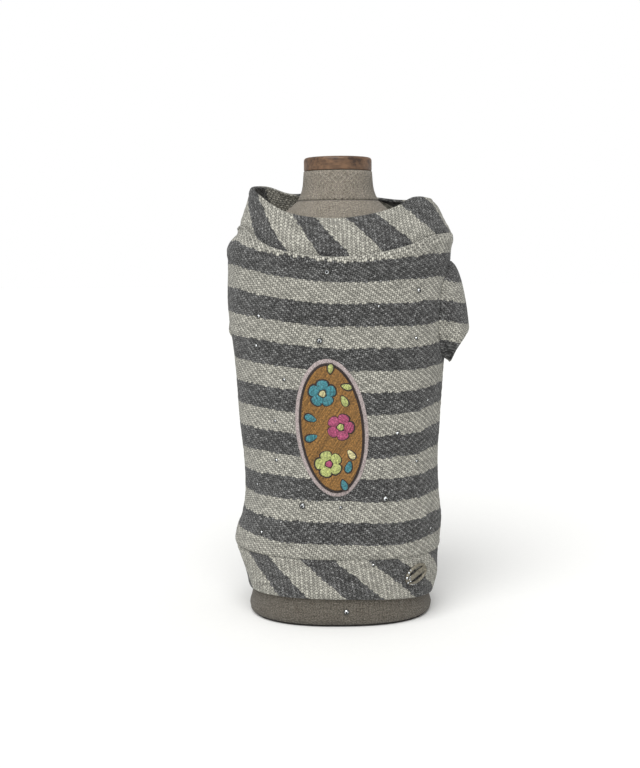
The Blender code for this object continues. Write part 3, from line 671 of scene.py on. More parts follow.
def lay_grid(name, rows, cloth_rows, finish, is_tube=False, fuzz=0.0):
    """A sheet through rows of points in metres. cloth_rows is each point's place on the flat
    cloth, and fuzz the unevenness of its surface in mm."""
    piece, grid = flat_grid(name, len(rows) - 1, len(rows[0]) - 1)
    cloth_map = piece.data.uv_layers["cloth"].data
    for corner in piece.data.loops:
        j, i = grid[corner.vertex_index]
        cloth_map[corner.index].uv = cloth_rows[j][i]
    for vertex, (j, i) in zip(piece.data.vertices, grid):
        point = rows[j][i]
        if fuzz:
            bump = sum(share * noise.noise(point / (size * MM)) for size, share in FUZZ)
            point = pushed_out(point, fuzz * MM * bump)
        vertex.co = point
    if is_tube:
        sew_ends(piece)
    piece.data.shade_smooth()
    piece.data.materials.append(finish)
    return piece


def triangles(piece):
    return sum(len(p.vertices) - 2 for p in piece.data.polygons)


def lay_cloth(name, rows, cloth_rows, finish, wall, is_tube=False, fuzz=CLOTH_FUZZ):
    """A sheet of cloth with a thickness, given in mm, which goes to its inside."""
    piece = lay_grid(name, rows, cloth_rows, finish, is_tube, fuzz)
    apply_modifier(
        piece, "SOLIDIFY", thickness=wall * MM, offset=-1.0, use_even_offset=True,
        use_quality_normals=True,
    )
    print(f"{name}: {len(rows[0]) - 1} x {len(rows) - 1} squares, {triangles(piece)} triangles")
    return piece


def join_pieces(name, pieces):
    """Joins pieces into one, with its origin at the frame's own."""
    select_only(*pieces)
    bpy.ops.object.join()
    joined = bpy.context.object
    joined.name = joined.data.name = name
    bpy.ops.object.transform_apply(location=True, rotation=True, scale=True)
    print(f"{name}: {len(pieces)} pieces joined, {triangles(joined)} triangles")
    return joined


def seam_roll(distance, crest, tuck):
    """A seam pulls the cloth's edge in and lets it swell beside it: the cloth's lift in mm at
    a distance in mm from the seam."""
    swelling = crest * math.exp(-(((distance - SEAM_CREST_AT) / SEAM_CREST_WIDTH) ** 2))
    return swelling - tuck * math.exp(-((distance / SEAM_TUCK_WIDTH) ** 2))


def arc_lengths(points):
    """The distance in metres from the first point to each of them."""
    lengths = [0.0]
    for before, after in zip(points, points[1:]):
        lengths.append(lengths[-1] + (after - before).length)
    return lengths


# %% [markdown]
# ## The back and belly panels
#
# The body is cut in two panels that meet at the side seams, with the armholes hollowed
# out of both. A panel's rows are numbered by the height of their front, and near the top
# they rise to meet the neck seam, which scoops. At the neck the cloth rolls over in a
# soft ridge, and the collar stands behind it. The stripes are level on the flat cloth,
# but worn cloth is pulled up here and down there, so a short table says by how much.

# %% Sizes of the panels
RIGHT_SEAM = -7.0
LEFT_SEAM = 135.0
ARMHOLE_HALF_ANGLE = 22.0
ARMHOLE_LOW = 172.0
ARMHOLE_HIGH = 226.0
ARMHOLE_MIDDLE = (ARMHOLE_LOW + ARMHOLE_HIGH) / 2
ARMHOLE_HALF_RISE = (ARMHOLE_HIGH - ARMHOLE_LOW) / 2
ARMHOLE_ROWS = 52
HEM_KEY = BODY_RINGS[0].key
NECK_KEY = BODY_RINGS[-1].key
NECK_RISE_START = 190.0
SIDE_SEAM_GAP = 0.35
SIDE_SEAM_CREST = 0.3
SIDE_SEAM_TUCK = 0.35
PANEL_WALL = 1.6
DARK_STRIPE_START = 55.5
HEM_CREST = 0.6
HEM_TUCK = 0.1
NECK_ROLL = 4.2  # the last of the cloth below the neck seam, which rolls over
NECK_ROLL_RADIUS = 1.5
NECK_ROLL_TURN = math.radians(140.0)
RIDGE_HEIGHT = 1.1
RIDGE_WIDTH = 3.0
# How full the neck's ridge is, by degrees round the garment.
RIDGE_FULLNESS = [
    (0.0, 0.9), (60.0, 0.7), (120.0, 0.5), (185.0, 0.15), (207.0, 0.3), (228.0, 1.0), (300.0, 1.1),
    (345.0, 0.7), (360.0, 0.9),
]
# How far the last of the cloth leans in to the collar, in mm.
NECK_LEAN = [
    (0.0, 0.0), (150.0, 1.5), (183.0, 4.4), (202.0, 4.2), (220.0, 1.2), (236.0, 0.0), (360.0, 0.0),
]
NECK_LEAN_LENGTH = 13.0
FRONT = 270.0
CLOTH_STEP = 1.15

# How much of the cloth's V is pulled up past each place, in mm: a row for each height of a
# row of cloth, and a column for each angle round the body.
SHIFT_ANGLES = (195.0, 210.0, 225.0, 240.0, 255.0, 270.0, 285.0, 300.0, 315.0, 330.0)
STRIPE_SHIFTS = [
    (57.0, (-3.5, -4.0, -2.8, -0.9, -1.2, -1.1, -0.1, 0.0, -1.1, -2.8)),
    (86.0, (-2.4, -2.0, -2.1, -1.9, -1.5, -1.2, -0.1, 0.2, -0.8, -2.2)),
    (114.0, (-2.5, -3.2, -3.5, -2.6, -1.4, -0.7, 0.1, -0.7, -0.6, -2.6)),
    (143.0, (-2.9, -3.3, -3.1, -1.6, -1.1, -0.5, -0.1, 0.0, -0.7, -3.1)),
    (170.0, (-2.9, -2.8, -2.7, -2.1, -1.0, -0.6, -0.8, -0.5, -0.5, -1.3)),
    (185.0, (-2.5, -3.3, -3.2, -2.5, -0.9, -0.2, -0.9, -0.7, -0.6, -2.3)),
    (199.0, (-2.4, -3.0, -3.0, -2.5, -1.2, -0.4, -0.9, -0.1, 0.0, -1.0)),
    (212.0, (-0.5, -0.6, -1.4, -1.9, -1.1, -0.4, -0.1, 1.1, 2.3, 2.8)),
    (224.0, (3.5, 3.0, 0.7, -1.1, -0.9, -0.3, 0.8, 2.5, 5.2, 6.5)),
    (236.0, (6.5, 6.3, 4.0, 1.6, 0.8, 1.9, 2.2, 5.0, 7.9, 10.0)),
]


# %% Points of the panels
def read_table(table, x):
    """The value at x, on straight lines between a table's rows."""
    i = max([j for j in range(len(table) - 1) if table[j][0] <= x] or [0])
    (x0, y0), (x1, y1) = table[i], table[i + 1]
    return y0 + (y1 - y0) * (x - x0) / (x1 - x0)


@lru_cache(maxsize=None)
def neck_heights(degrees):
    """The heights of the neck seam and of the collar's fold at this angle."""
    return section_at("neck", degrees % 360.0)


def neck_rise(degrees, key):
    """How far this row of cloth rises at this angle to meet the neck seam, in metres."""
    share = min(max((key - NECK_RISE_START) / (NECK_KEY - NECK_RISE_START), 0.0), 1.0)
    if share == 0.0:
        return 0.0
    to_seam = neck_heights(degrees).seam * MM - ring_point(BODY_RINGS[-1], degrees).z
    return to_seam * share * share * (3.0 - 2.0 * share)


def body_cloth_point(degrees, key, lift=0.0):
    """A point of the panels' outer face in metres. The key and the lift are in mm."""
    flat_key = min(key, NECK_KEY - NECK_ROLL)
    point = ring_point(section_at("body", flat_key), degrees)
    point.z += neck_rise(degrees, flat_key)
    fullness = read_table(RIDGE_FULLNESS, degrees % 360.0)
    below_roll = NECK_KEY - NECK_ROLL - flat_key
    lift += RIDGE_HEIGHT * fullness * math.exp(-((below_roll / RIDGE_WIDTH) ** 2))
    leaning = 1.0 - min(below_roll / (NECK_LEAN_LENGTH - NECK_ROLL), 1.0)
    lift -= read_table(NECK_LEAN, degrees % 360.0) * leaning * leaning
    lift += seam_roll(key - HEM_KEY, HEM_CREST, HEM_TUCK)
    if key > flat_key:
        turn = (key - flat_key) / NECK_ROLL * NECK_ROLL_TURN
        point.z += (neck_heights(degrees).seam * MM - point.z) * math.sin(turn)
        lift -= (0.5 + 0.5 * fullness) * NECK_ROLL_RADIUS * (1.0 - math.cos(turn))
    return pushed_out(point, fold_depth(BODY_FOLDS, degrees, flat_key) + lift * MM)


@lru_cache(maxsize=None)
def shift_columns(key):
    """The row of stripe shifts at this height, as pairs of an angle and a shift."""
    rows = [
        (angle, read_table([(row_key, shifts[i]) for row_key, shifts in STRIPE_SHIFTS], key))
        for i, angle in enumerate(SHIFT_ANGLES)
    ]
    return rows + [(SHIFT_ANGLES[0] + 360.0, rows[0][1])]


def cloth_across(degrees, key):
    """The flat cloth's V in metres here, with a dark stripe's lower edge at 0."""
    around = (degrees - SHIFT_ANGLES[0]) % 360.0 + SHIFT_ANGLES[0]
    return (key - DARK_STRIPE_START + read_table(shift_columns(key), around)) * MM


def armhole_width(key):
    """Half the armhole's width at this height, in degrees round the body."""
    share = (key - ARMHOLE_MIDDLE) / ARMHOLE_HALF_RISE
    return ARMHOLE_HALF_ANGLE * math.sqrt(1.0 - share * share) if abs(share) < 1.0 else 0.0


def panel_keys():
    """Heights of the rows: even, but for the armholes, whose round ends need closer ones."""
    below = round((ARMHOLE_LOW - HEM_KEY) / CLOTH_STEP)
    keys = [HEM_KEY + (ARMHOLE_LOW - HEM_KEY) * i / below for i in range(below)]
    for i in range(ARMHOLE_ROWS + 1):
        keys.append(ARMHOLE_MIDDLE - ARMHOLE_HALF_RISE * math.cos(math.pi * i / ARMHOLE_ROWS))
    above = round((NECK_KEY - ARMHOLE_HIGH) / (CLOTH_STEP / 2))
    step = (NECK_KEY - ARMHOLE_HIGH) / above
    return keys + [ARMHOLE_HIGH + step * i for i in range(1, above + 1)]


# %% Lay a panel
def along_ring(start, key, step=3.0):
    """The distance in metres round the ring from the middle of the front to this angle."""
    count = max(2, math.ceil(abs(start - FRONT) / step))
    angles = [FRONT + (start - FRONT) * i / count for i in range(count + 1)]
    length = arc_lengths([body_cloth_point(a, key) for a in angles])[-1]
    return math.copysign(length, start - FRONT)


def lay_panel(name, start, end, columns):
    rows, cloth_rows = [], []
    for key in panel_keys():
        notch = armhole_width(key)
        degree = (body_cloth_point(start + 1, key) - body_cloth_point(start - 1, key)).length / 2
        gap = SIDE_SEAM_GAP / 2 * MM / degree
        first, last = start + notch + gap, end - notch - gap
        angles = [first + (last - first) * i / columns for i in range(columns + 1)]
        lengths = arc_lengths([body_cloth_point(a, key) for a in angles])
        # An armhole's edge isn't pulled in, as a side seam's is.
        crest, tuck = (0.0, 0.0) if notch else (SIDE_SEAM_CREST, SIDE_SEAM_TUCK)
        row = []
        for angle, length in zip(angles, lengths):
            edge = min(length, lengths[-1] - length) / MM
            row.append(body_cloth_point(angle, key, seam_roll(edge, crest, tuck)))
        rows.append(row)
        offset = along_ring(first, key)
        cloth_rows.append(
            [(offset + length, cloth_across(a, key)) for a, length in zip(angles, lengths)]
        )
    return lay_cloth(name, rows, cloth_rows, striped_terry, PANEL_WALL)


back_panel = lay_panel("back_panel_cloth", LEFT_SEAM, RIGHT_SEAM + 360.0, columns=206)
belly_panel = lay_panel("belly_panel_cloth", RIGHT_SEAM, LEFT_SEAM, columns=140)

# %% [markdown]
# ## The cap sleeves
#
# A short sleeve is a tube from the armhole's edge to an open cuff, puffed over the
# shoulder by the extra cloth at its head. Each of its lines is a Bezier curve from the
# armhole to the cuff. The cuff's edge is turned in and up again, as a hem is, so the
# sheet's last rows go round the edge and back inside. The stripes go on from the body's.

# %% Sizes of the sleeves
SLEEVE_FUZZ = 0.1
CUFF_OUT = 8.0
CUFF_DROP = 18.4
CUFF_HALF_WIDTH = 21.0
CUFF_HALF_HEIGHT = 12.0
CUFF_TILT = 57.0
CUFF_FLARE = 0.1
SLEEVE_PUFF = 0.16
SLEEVE_HANG = 0.36
CUFF_SAG = 3.0  # how far the cuff's underside hangs
SLEEVE_ROOT = 0.3  # how far inside the panels' outer face the sleeve starts
SLEEVE_ROWS = 30
SLEEVE_COLUMNS = 120
SLEEVE_WALL = 0.9
SLEEVE_DOUBLED = 2.0
SLEEVE_CREST = 0.5
# Stations round the cuff's edge: a share of the way down a line, and a depth inside in mm.
CUFF_EDGE = [(1.012, 0.3), (1.02, 1.0), (1.012, 1.7)]
CUFF_HEM_ROWS = 7
CUFF_HEM_STEP = 0.03
SLEEVE_STRIPE_Z = 198.2  # a dark stripe's lower edge at the armhole
SLEEVE_STRIPE_RATE = 1.08
SLEEVE_REACH = 14.0  # how far out from the body it stands
SLEEVE_STRIPE_DROOP = 0.2  # how far the stripes run down for each mm out from the body
SLEEVE_DROOP_FROM = -3.0


def body_normal(degrees, key, step=1.5):
    """The cloth's outward normal here, from points so many degrees and mm away."""
    across = body_cloth_point(degrees + step, key) - body_cloth_point(degrees - step, key)
    up = body_cloth_point(degrees, key + step) - body_cloth_point(degrees, key - step)
    return across.cross(up).normalized()


# %% Lay a sleeve
def lay_sleeve(name, centre):
    middle = body_cloth_point(centre, ARMHOLE_MIDDLE)
    outwards = body_normal(centre, ARMHOLE_MIDDLE)
    outwards = Vector((outwards.x, outwards.y, 0.0)).normalized()
    along = Vector((-outwards.y, outwards.x, 0.0))
    up = Vector((0.0, 0.0, 1.0))
    tilt = math.radians(CUFF_TILT)
    cuff_middle = middle + (outwards * CUFF_OUT - up * CUFF_DROP) * MM
    cuff_up = outwards * math.cos(tilt) + up * math.sin(tilt)
    hang = (outwards * CUFF_FLARE - up).normalized()
    stations = [(i / SLEEVE_ROWS, 0.0) for i in range(SLEEVE_ROWS + 1)] + CUFF_EDGE
    stations += [(1.0 - CUFF_HEM_STEP * i, SLEEVE_DOUBLED) for i in range(CUFF_HEM_ROWS)]
    rows = [[] for _ in stations]
    for i in range(SLEEVE_COLUMNS + 1):
        turn = 2.0 * math.pi * i / SLEEVE_COLUMNS
        degrees = centre + ARMHOLE_HALF_ANGLE * math.sin(turn)
        key = ARMHOLE_MIDDLE - ARMHOLE_HALF_RISE * math.cos(turn)
        edge = body_cloth_point(degrees, key)
        start = edge - body_normal(degrees, key) * SLEEVE_ROOT * MM
        end = (
            cuff_middle
            + along * math.sin(turn) * CUFF_HALF_WIDTH * MM
            - cuff_up * math.cos(turn) * CUFF_HALF_HEIGHT * MM
        )
        end.z -= CUFF_SAG * max(math.cos(turn), 0.0) ** 2 * MM
        reach = (end - start).length
        rooted = Vector((start.x, start.y, 0.0)).normalized()
        control_a = start + (rooted + outwards).normalized() * reach * SLEEVE_PUFF
        control_b = end - hang * reach * SLEEVE_HANG
        for row, (t, depth) in zip(rows, stations):
            u = 1.0 - t
            point = start * u**3 + control_a * 3 * u * u * t
            point += control_b * 3 * u * t * t + end * t**3
            swell = seam_roll(t * reach / MM, SLEEVE_CREST, 0.0) * MM
            inside = (cuff_middle.lerp(middle, u) - point).normalized()
            row.append(point + inside * (depth * MM - swell))
    # Level lines go out along the sleeve's front, across its top and back in behind.
    cloth_rows = []
    for row in rows:
        places = []
        for point in row:
            out = (point - middle).dot(outwards) / MM
            around = (point - middle).dot(along) / MM
            side = min(max(around / CUFF_HALF_WIDTH, -1.0), 1.0)
            v = (point.z / MM - SLEEVE_STRIPE_Z) * SLEEVE_STRIPE_RATE
            v += SLEEVE_STRIPE_DROOP * (out - SLEEVE_DROOP_FROM)
            places.append(((around + side * (SLEEVE_REACH - out)) * MM, v * MM))
        cloth_rows.append(places)
    return lay_cloth(name, rows, cloth_rows, striped_terry, SLEEVE_WALL, True, SLEEVE_FUZZ)


sleeve_right = lay_sleeve("sleeve_right_cloth", RIGHT_SEAM)
sleeve_left = lay_sleeve("sleeve_left_cloth", LEFT_SEAM)

# %% [markdown]
# ## The cowl collar and the hem band
#
# Both are tubes of the same terry cut on the bias, folded lengthwise and sewn on by both
# raw edges, so both are doubled. The sheet starts at the seam, goes along its outer face
# to the fold, and back inside. On the bias the stripes run at a slant. Cloth on
# the bias also stretches unevenly, so where each stripe's edges meet the seam is given
# in a short table: the distance round the seam and the place across the stripes there.

# %% Sizes of the collar and the band
COLLAR_WALL = 1.2
COLLAR_DOUBLED = 3.2
BAND_WALL = 0.95
BAND_DOUBLED = 2.2
# Stations round a fold: how far through the doubled cloth, and how much of its crown.
FOLD_CROWN = [(0.08, 0.45), (0.27, 0.88), (0.5, 1.0), (0.73, 0.88), (0.92, 0.45)]
COLLAR_FOOT_HIDDEN = 3.0  # how far the foot reaches down behind the neck's ridge
COLLAR_TUCK = 1.5
COLLAR_TUCK_SHARE = 4.0 / 26.0  # of the collar's rise
COLLAR_JOIN = 90.0
BAND_JOIN = 90.0
BAND_OVERLAP = 1.3  # how far its edge stands up into the panels' hem
BAND_OVERLAP_SHARE = 0.1
BAND_RISE = 28.0
BAND_CREST = 0.4
BAND_TUCK = 0.15
THREAD_RUN = (0.74, -0.68)  # how much of the way round, and up, counts along the stripes
SLANT_ROUNDS = 8

# Where each stripe's edge meets the seam: the distance round it from the middle of the
# front, and the place across the stripes.
COLLAR_PHASES = [
    (-230.0, -142.0), (-128.0, -70.0), (-108.0, -56.2), (-85.0, -41.9), (-57.5, -28.1),
    (-30.0, -13.8), (-10.3, 0.0), (9.8, 14.3), (30.9, 28.1), (51.6, 42.4), (71.0, 56.2),
    (290.0, 208.0),
]
BAND_PHASES = [
    (-230.0, -140.0), (-96.0, -41.9), (-66.6, -28.1), (-50.0, -13.8), (-28.0, 0.0),
    (-6.3, 14.3), (16.5, 28.1), (34.9, 42.4), (63.0, 56.2), (330.0, 238.0),
]
# How far a stripe's edge moves back round for each mm up, by where it meets the seam.
COLLAR_SLANTS = [
    (-230.0, 1.0), (-57.5, 1.04), (-30.0, 1.22), (-10.3, 0.7), (9.8, 0.86), (40.0, 0.88),
    (71.0, 0.96), (150.0, 1.1), (250.0, 1.0),
]
BAND_SLANTS = [
    (-230.0, 0.9), (-66.6, 0.88), (-50.0, 1.03), (-28.0, 1.16), (-6.3, 1.24), (16.5, 1.22),
    (34.9, 1.5), (80.0, 1.2), (313.0, 0.8),
]


def bias_place(around, rise, phases, slants):
    """The flat cloth's U and V in metres at a distance round and up from the seam, in mm."""
    level = around
    for _ in range(SLANT_ROUNDS):  # the slant is that of the line through this very point
        level = around + read_table(slants, level) * rise
    along = THREAD_RUN[0] * around + THREAD_RUN[1] * rise
    return along * MM, read_table(phases, level) * MM


def collar_cloth_point(degrees, key):
    """A point of the collar's outer face in metres. Its foot stands behind the neck's ridge."""
    row = section_at("collar", key)
    neck = neck_heights(degrees)
    foot = neck.seam - COLLAR_FOOT_HIDDEN
    height = foot + (neck.fold - foot) * row.rise
    level = Ring(key, height, height, height, height, *row[2:])
    tuck = COLLAR_TUCK * math.exp(-((key / COLLAR_TUCK_SHARE) ** 2))
    lift = fold_depth(COLLAR_FOLDS, degrees, key) - tuck * MM
    return pushed_out(ring_point(level, degrees), lift)


def band_cloth_point(degrees, key):
    """A point of the band's outer face in metres."""
    point = ring_point(section_at("band", key), degrees)
    near_seam = max(1.0 - (1.0 - key) / BAND_OVERLAP_SHARE, 0.0)
    point.z += BAND_OVERLAP * near_seam**2 * MM
    lift = seam_roll((1.0 - key) * BAND_RISE, BAND_CREST, BAND_TUCK)
    return pushed_out(point, fold_depth(BAND_FOLDS, degrees, key) + lift * MM)


# %% Lay a doubled tube
def lay_doubled_tube(name, surface, fold_key, columns, steps, join, walls, slopes):
    """A tube of doubled cloth, from its seam over its fold and back. fold_key is 1 for a fold
    at the top and 0 for one at the foot, and the seam is at the other end."""
    wall, doubled = walls
    sign = 1.0 if fold_key > 0.5 else -1.0
    keys = [round(1.0 - fold_key + sign * i / steps, 6) for i in range(steps + 1)]
    stations = [(key, 0.0, 0.0) for key in keys]
    stations += [
        (fold_key, doubled * share, sign * doubled / 2 * lift) for share, lift in FOLD_CROWN
    ]
    stations += [(key, doubled, 0.0) for key in reversed(keys)]
    angles = [join + 360.0 * i / columns for i in range(columns + 1)]
    rows = []
    for key, depth, lift in stations:
        row = []
        for angle in angles:
            point = pushed_out(surface(angle, key), -depth * MM)
            point.z += lift * MM
            row.append(point)
        rows.append(row)
    rises = [[0.0] * len(angles)]
    for before, after in zip(rows, rows[1:]):
        rises.append([r + sign * (b - a).length for r, a, b in zip(rises[-1], before, after)])
    front = min(range(len(angles)), key=lambda i: abs((angles[i] - FRONT) % 360.0))
    cloth_rows = []
    for row, rise in zip(rows, rises):
        lengths = arc_lengths(row)
        start = lengths[front]
        cloth_rows.append(
            [bias_place((a - start) / MM, r / MM, *slopes) for a, r in zip(lengths, rise)]
        )
    if sign < 0:  # the outer face of a band runs down, so the rows are turned over
        rows, cloth_rows = rows[::-1], cloth_rows[::-1]
    return lay_cloth(name, rows, cloth_rows, bias_terry, wall, is_tube=True)


collar = lay_doubled_tube(
    "cowl_collar_cloth", collar_cloth_point, fold_key=1.0, columns=348, steps=24,
    join=COLLAR_JOIN, walls=(COLLAR_WALL, COLLAR_DOUBLED), slopes=(COLLAR_PHASES, COLLAR_SLANTS),
)
band = lay_doubled_tube(
    "hem_band_cloth", band_cloth_point, fold_key=0.0, columns=330, steps=22,
    join=BAND_JOIN, walls=(BAND_WALL, BAND_DOUBLED), slopes=(BAND_PHASES, BAND_SLANTS),
)

# %% [markdown]
# ## The dress form
#
# The linen body is a loft through the form's sections, much finer than its solid. A seam
# rings the foot of the neck, and another runs down the middle of the neck in front and
# behind. Both are shallow grooves in the mesh. The neck's linen is cut on the bias in
# two halves, so its weave meets the middle seam in chevrons: there the cloth map is
# turned by 45 degrees and mirrored.

# %% Build the linen body
FORM_COLUMNS = 176
SEAM_GROOVE = 0.55
SEAM_HALF_WIDTH = 0.7
SIDE_GROOVE_SHARE = 0.6  # how deep the seams down the neck are beside the one round it
FORM_ROWS = 98
SEAM_ROW_STEP = 0.35
SEAM_ROWS_EACH_WAY = 6
CLEAR_OF_SEAM = 2.4
SHOULDER_Z = 205.0
SHOULDER_EASE = 0.6


def form_point(degrees, z):
    section = section_at("form", z)
    ring = Ring(
        0.0, z, z, z, z, -section.half_width, section.half_width,
        section.y_front, section.y_back, section.squareness,
    )
    point = ring_point(ring, degrees)
    groove = math.exp(-(((z - NECK_SEAM_Z) / SEAM_HALF_WIDTH) ** 2))
    if z > NECK_SEAM_Z:
        down_neck = math.exp(-((point.x / MM / SEAM_HALF_WIDTH) ** 2))
        groove = max(groove, down_neck * SIDE_GROOVE_SHARE)
    return pushed_out(point, -groove * SEAM_GROOVE * MM)


def form_heights():
    """Rows 3 mm apart, and closer at the seam that rings the neck."""
    low, high = FORM_SECTIONS[0].key, FORM_SECTIONS[-1].key
    heights = [low + (high - low) * i / FORM_ROWS for i in range(FORM_ROWS + 1)]
    heights = [z for z in heights if abs(z - NECK_SEAM_Z) > CLEAR_OF_SEAM]
    closer = range(-SEAM_ROWS_EACH_WAY, SEAM_ROWS_EACH_WAY + 1)
    return sorted(heights + [NECK_SEAM_Z + SEAM_ROW_STEP * i for i in closer])


def build_form_body():
    heights = form_heights()
    angles = [FRONT + 360.0 * i / FORM_COLUMNS for i in range(FORM_COLUMNS + 1)]
    rows = [[form_point(a, z) for a in angles] for z in heights]
    piece, grid = flat_grid("linen_form", len(rows) - 1, FORM_COLUMNS)
    cloth_map = piece.data.uv_layers["cloth"].data
    lengths = [arc_lengths(row) for row in rows]
    for face in piece.data.polygons:
        lowest = min(heights[grid[v][0]] for v in face.vertices)
        on_neck = lowest > NECK_SEAM_Z - SEAM_ROW_STEP / 2
        for corner in face.loop_indices:
            j, i = grid[piece.data.loops[corner].vertex_index]
            around, z = lengths[j][i], heights[j] * MM
            if on_neck:
                half_girth = lengths[j][-1] / 2
                around = half_girth / 2 - abs(abs(around - half_girth) - half_girth / 2)
                around, z = (around + z) / math.sqrt(2.0), (z - around) / math.sqrt(2.0)
            elif heights[j] > SHOULDER_Z:  # the top is cut in one, and eased over the edge
                flat = Vector(rows[j][i].xy)
                flat += flat.normalized() * (NECK_SEAM_Z - heights[j]) * SHOULDER_EASE * MM
                around, z = flat
            cloth_map[corner].uv = (around, z)
    for vertex, (j, i) in zip(piece.data.vertices, grid):
        vertex.co = rows[j][i]
    sew_ends(piece)
    # The open rims at the foot and at the top of the neck are closed with a face each.
    bpy.ops.object.mode_set(mode="EDIT")
    bpy.ops.mesh.select_all(action="DESELECT")
    bpy.ops.mesh.select_non_manifold()
    bpy.ops.mesh.edge_face_add()
    bpy.ops.object.mode_set(mode="OBJECT")
    piece.data.shade_smooth()
    piece.data.materials.append(linen)
    print("linen_form:", triangles(piece), "triangles")
    return piece


linen_form = build_form_body()

# %% [markdown]
# The cap is a disc turned on a lathe: a cylinder whose rims are bevelled, the upper one
# round and the lower one with a small chamfer. It stands on the neck with a thin gap.

# %% Build the neck cap
cap_low, cap_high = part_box("neck_cap")
CAP_RADIUS = cap_high.x
CAP_SIDES = 96
CAP_UPPER_ROUND = 2.0
CAP_LOWER_CHAMFER = 0.8
CAP_ROUND_STEPS = 6
CAP_CHAMFER_STEPS = 2
SHARP_FROM = math.radians(35.0)


def build_neck_cap():
    select_only()
    bpy.ops.mesh.primitive_cylinder_add(
        vertices=CAP_SIDES, radius=CAP_RADIUS, depth=cap_high.z - cap_low.z,
        location=(0.0, 0.0, (cap_low.z + cap_high.z) / 2),
    )
    cap = bpy.context.object
    cap.name = cap.data.name = "turned_cap"
    bpy.ops.object.transform_apply(location=True, rotation=False, scale=False)
    for z, width, segments in (
        (cap_high.z, CAP_UPPER_ROUND, CAP_ROUND_STEPS),
        (cap_low.z, CAP_LOWER_CHAMFER, CAP_CHAMFER_STEPS),
    ):
        bpy.ops.object.mode_set(mode="EDIT")
        bpy.ops.mesh.select_mode(type="EDGE")
        bpy.ops.mesh.select_all(action="DESELECT")
        bpy.ops.object.mode_set(mode="OBJECT")
        for edge in cap.data.edges:
            ends = [cap.data.vertices[v].co.z for v in edge.vertices]
            edge.select = all(abs(end - z) < MERGE_WITHIN * MM for end in ends)
        bpy.ops.object.mode_set(mode="EDIT")
        bpy.ops.mesh.bevel(offset=width * MM, segments=segments, affect="EDGES")
        bpy.ops.object.mode_set(mode="OBJECT")
    cap.data.shade_smooth()
    bpy.ops.object.shade_smooth_by_angle(angle=SHARP_FROM)
    cap.data.materials.append(cap_wood)
    print("turned_cap:", triangles(cap), "triangles")
    return cap


neck_cap = build_neck_cap()
board_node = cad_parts["base_board"]
board_node.data.materials.clear()
board_node.data.materials.append(board)

# %% [markdown]
# ## Embroidery thread, felt, metal and glass
#
# A satin stitch is a row of parallel rayon threads, which gleam softly. The cloth map of
# each sewn shape runs with its threads in U, so ridges across V draw them, a little
# coarser than they really are. Each thread is slightly lighter or darker than the next.
# Felt is matt and furry. The charm is cast nickel under a dull brown tarnish, so its
# shader is only half metal. A cut stone shows bright, silver-backed facets round a small
# table whose dark colour is a painted reflection, in a ring of blackened steel.

# %% Materials of the trims
THREAD_STEP = 0.55
THREAD_RELIEF = 0.2
THREAD_TOP_FROM = 0.8
THREAD_PAINTED_SHADE_TONES = (0.5, 1.08)
THREAD_TONES = (0.72, 1.28)
# Painted sheen: the patches where rows of threads lie this way or that are drawn lighter and
# darker.
LAY_SIZE = 1.1  # the light and dark patches where a row of threads lies this way or that
LAY_ENDS = (0.3, 0.7)
LAY_PAINTED_SHEEN = (0.45, 1.55)
TRIM_RELIEF = 0.15


def embroidery_thread(name, colour):
    material, tree = new_finish(
        name, Roughness=0.5, Sheen_Weight=0.2, Sheen_Roughness=0.3, Specular_IOR_Level=0.35
    )
    sewn = add_node(tree, "UVMap", uv_map="cloth")
    per_thread = (0.0, 1.0 / (THREAD_STEP * MM), 0.0)
    across = add_node(tree, "VectorMath", (sewn, per_thread), "Value", operation="DOT_PRODUCT")
    turn = add_node(tree, "Math", (across, math.pi), operation="MULTIPLY")
    wave = add_node(tree, "Math", (turn,), operation="SINE")
    ridge = add_node(tree, "Math", (wave,), operation="ABSOLUTE")
    thread = add_node(tree, "Math", (across,), operation="FLOOR")
    chance = add_node(tree, "TexWhiteNoise", {"W": thread}, noise_dimensions="1D")
    lays = {"Vector": sewn, "Scale": 1.0 / (LAY_SIZE * MM), "Detail": 3.0}
    lay = add_node(tree, "TexNoise", lays)
    # Painted shade between the threads, and painted light on their tops, by the same ridges as the
    # bumps.
    shade = add_node(tree, "MapRange", (ridge, 0.0, THREAD_TOP_FROM, *THREAD_PAINTED_SHADE_TONES))
    shade = toned(tree, shade, chance, (0.0, 1.0), THREAD_TONES)
    # The painted sheen of the threads' lay.
    shade = toned(tree, shade, lay, LAY_ENDS, LAY_PAINTED_SHEEN)
    shaded = add_node(tree, "VectorMath", (linear(colour)[:3], shade), operation="MULTIPLY")
    return shown_on(material, shaded, ridge, THREAD_RELIEF, strength=0.7)


felt = mottled(
    "wool_felt_pale_pink_grey", "A09492", 0.6, 0.6, TRIM_RELIEF, Roughness=1.0, Sheen_Weight=0.2
)
tarnished = mottled(
    "cast_nickel_tarnished", "7A7568", 0.8, 0.6, TRIM_RELIEF, Metallic=0.5, Roughness=0.55
)
rim_metal = mottled(
    "blackened_steel_setting", "5C5B57", 0.6, 0.3, TRIM_RELIEF, Metallic=1.0, Roughness=0.3
)
bright_glass = mottled(
    "cut_glass_silver_backed", "CDD0D2", 0.4, 0.3, TRIM_RELIEF, Metallic=1.0, Roughness=0.1
)
painted_reflection_glass = mottled(
    "cut_glass_table_painted_reflection", "0B0C0E", 0.6, 0.4, TRIM_RELIEF, Roughness=0.25, Specular_IOR_Level=0.25
)
THREADS = {
    "outline": embroidery_thread("satin_thread_dark_brown", "2E2320"),
    "ground": embroidery_thread("rayon_thread_golden_brown", "85602F"),
    "teal": embroidery_thread("rayon_thread_teal", "3E7C85"),
    "pink": embroidery_thread("rayon_thread_dusty_pink", "A44A6C"),
    "lime": embroidery_thread("rayon_thread_lime", "A9B06C"),
    "cream": embroidery_thread("rayon_thread_cream", "C4BC8C"),
}
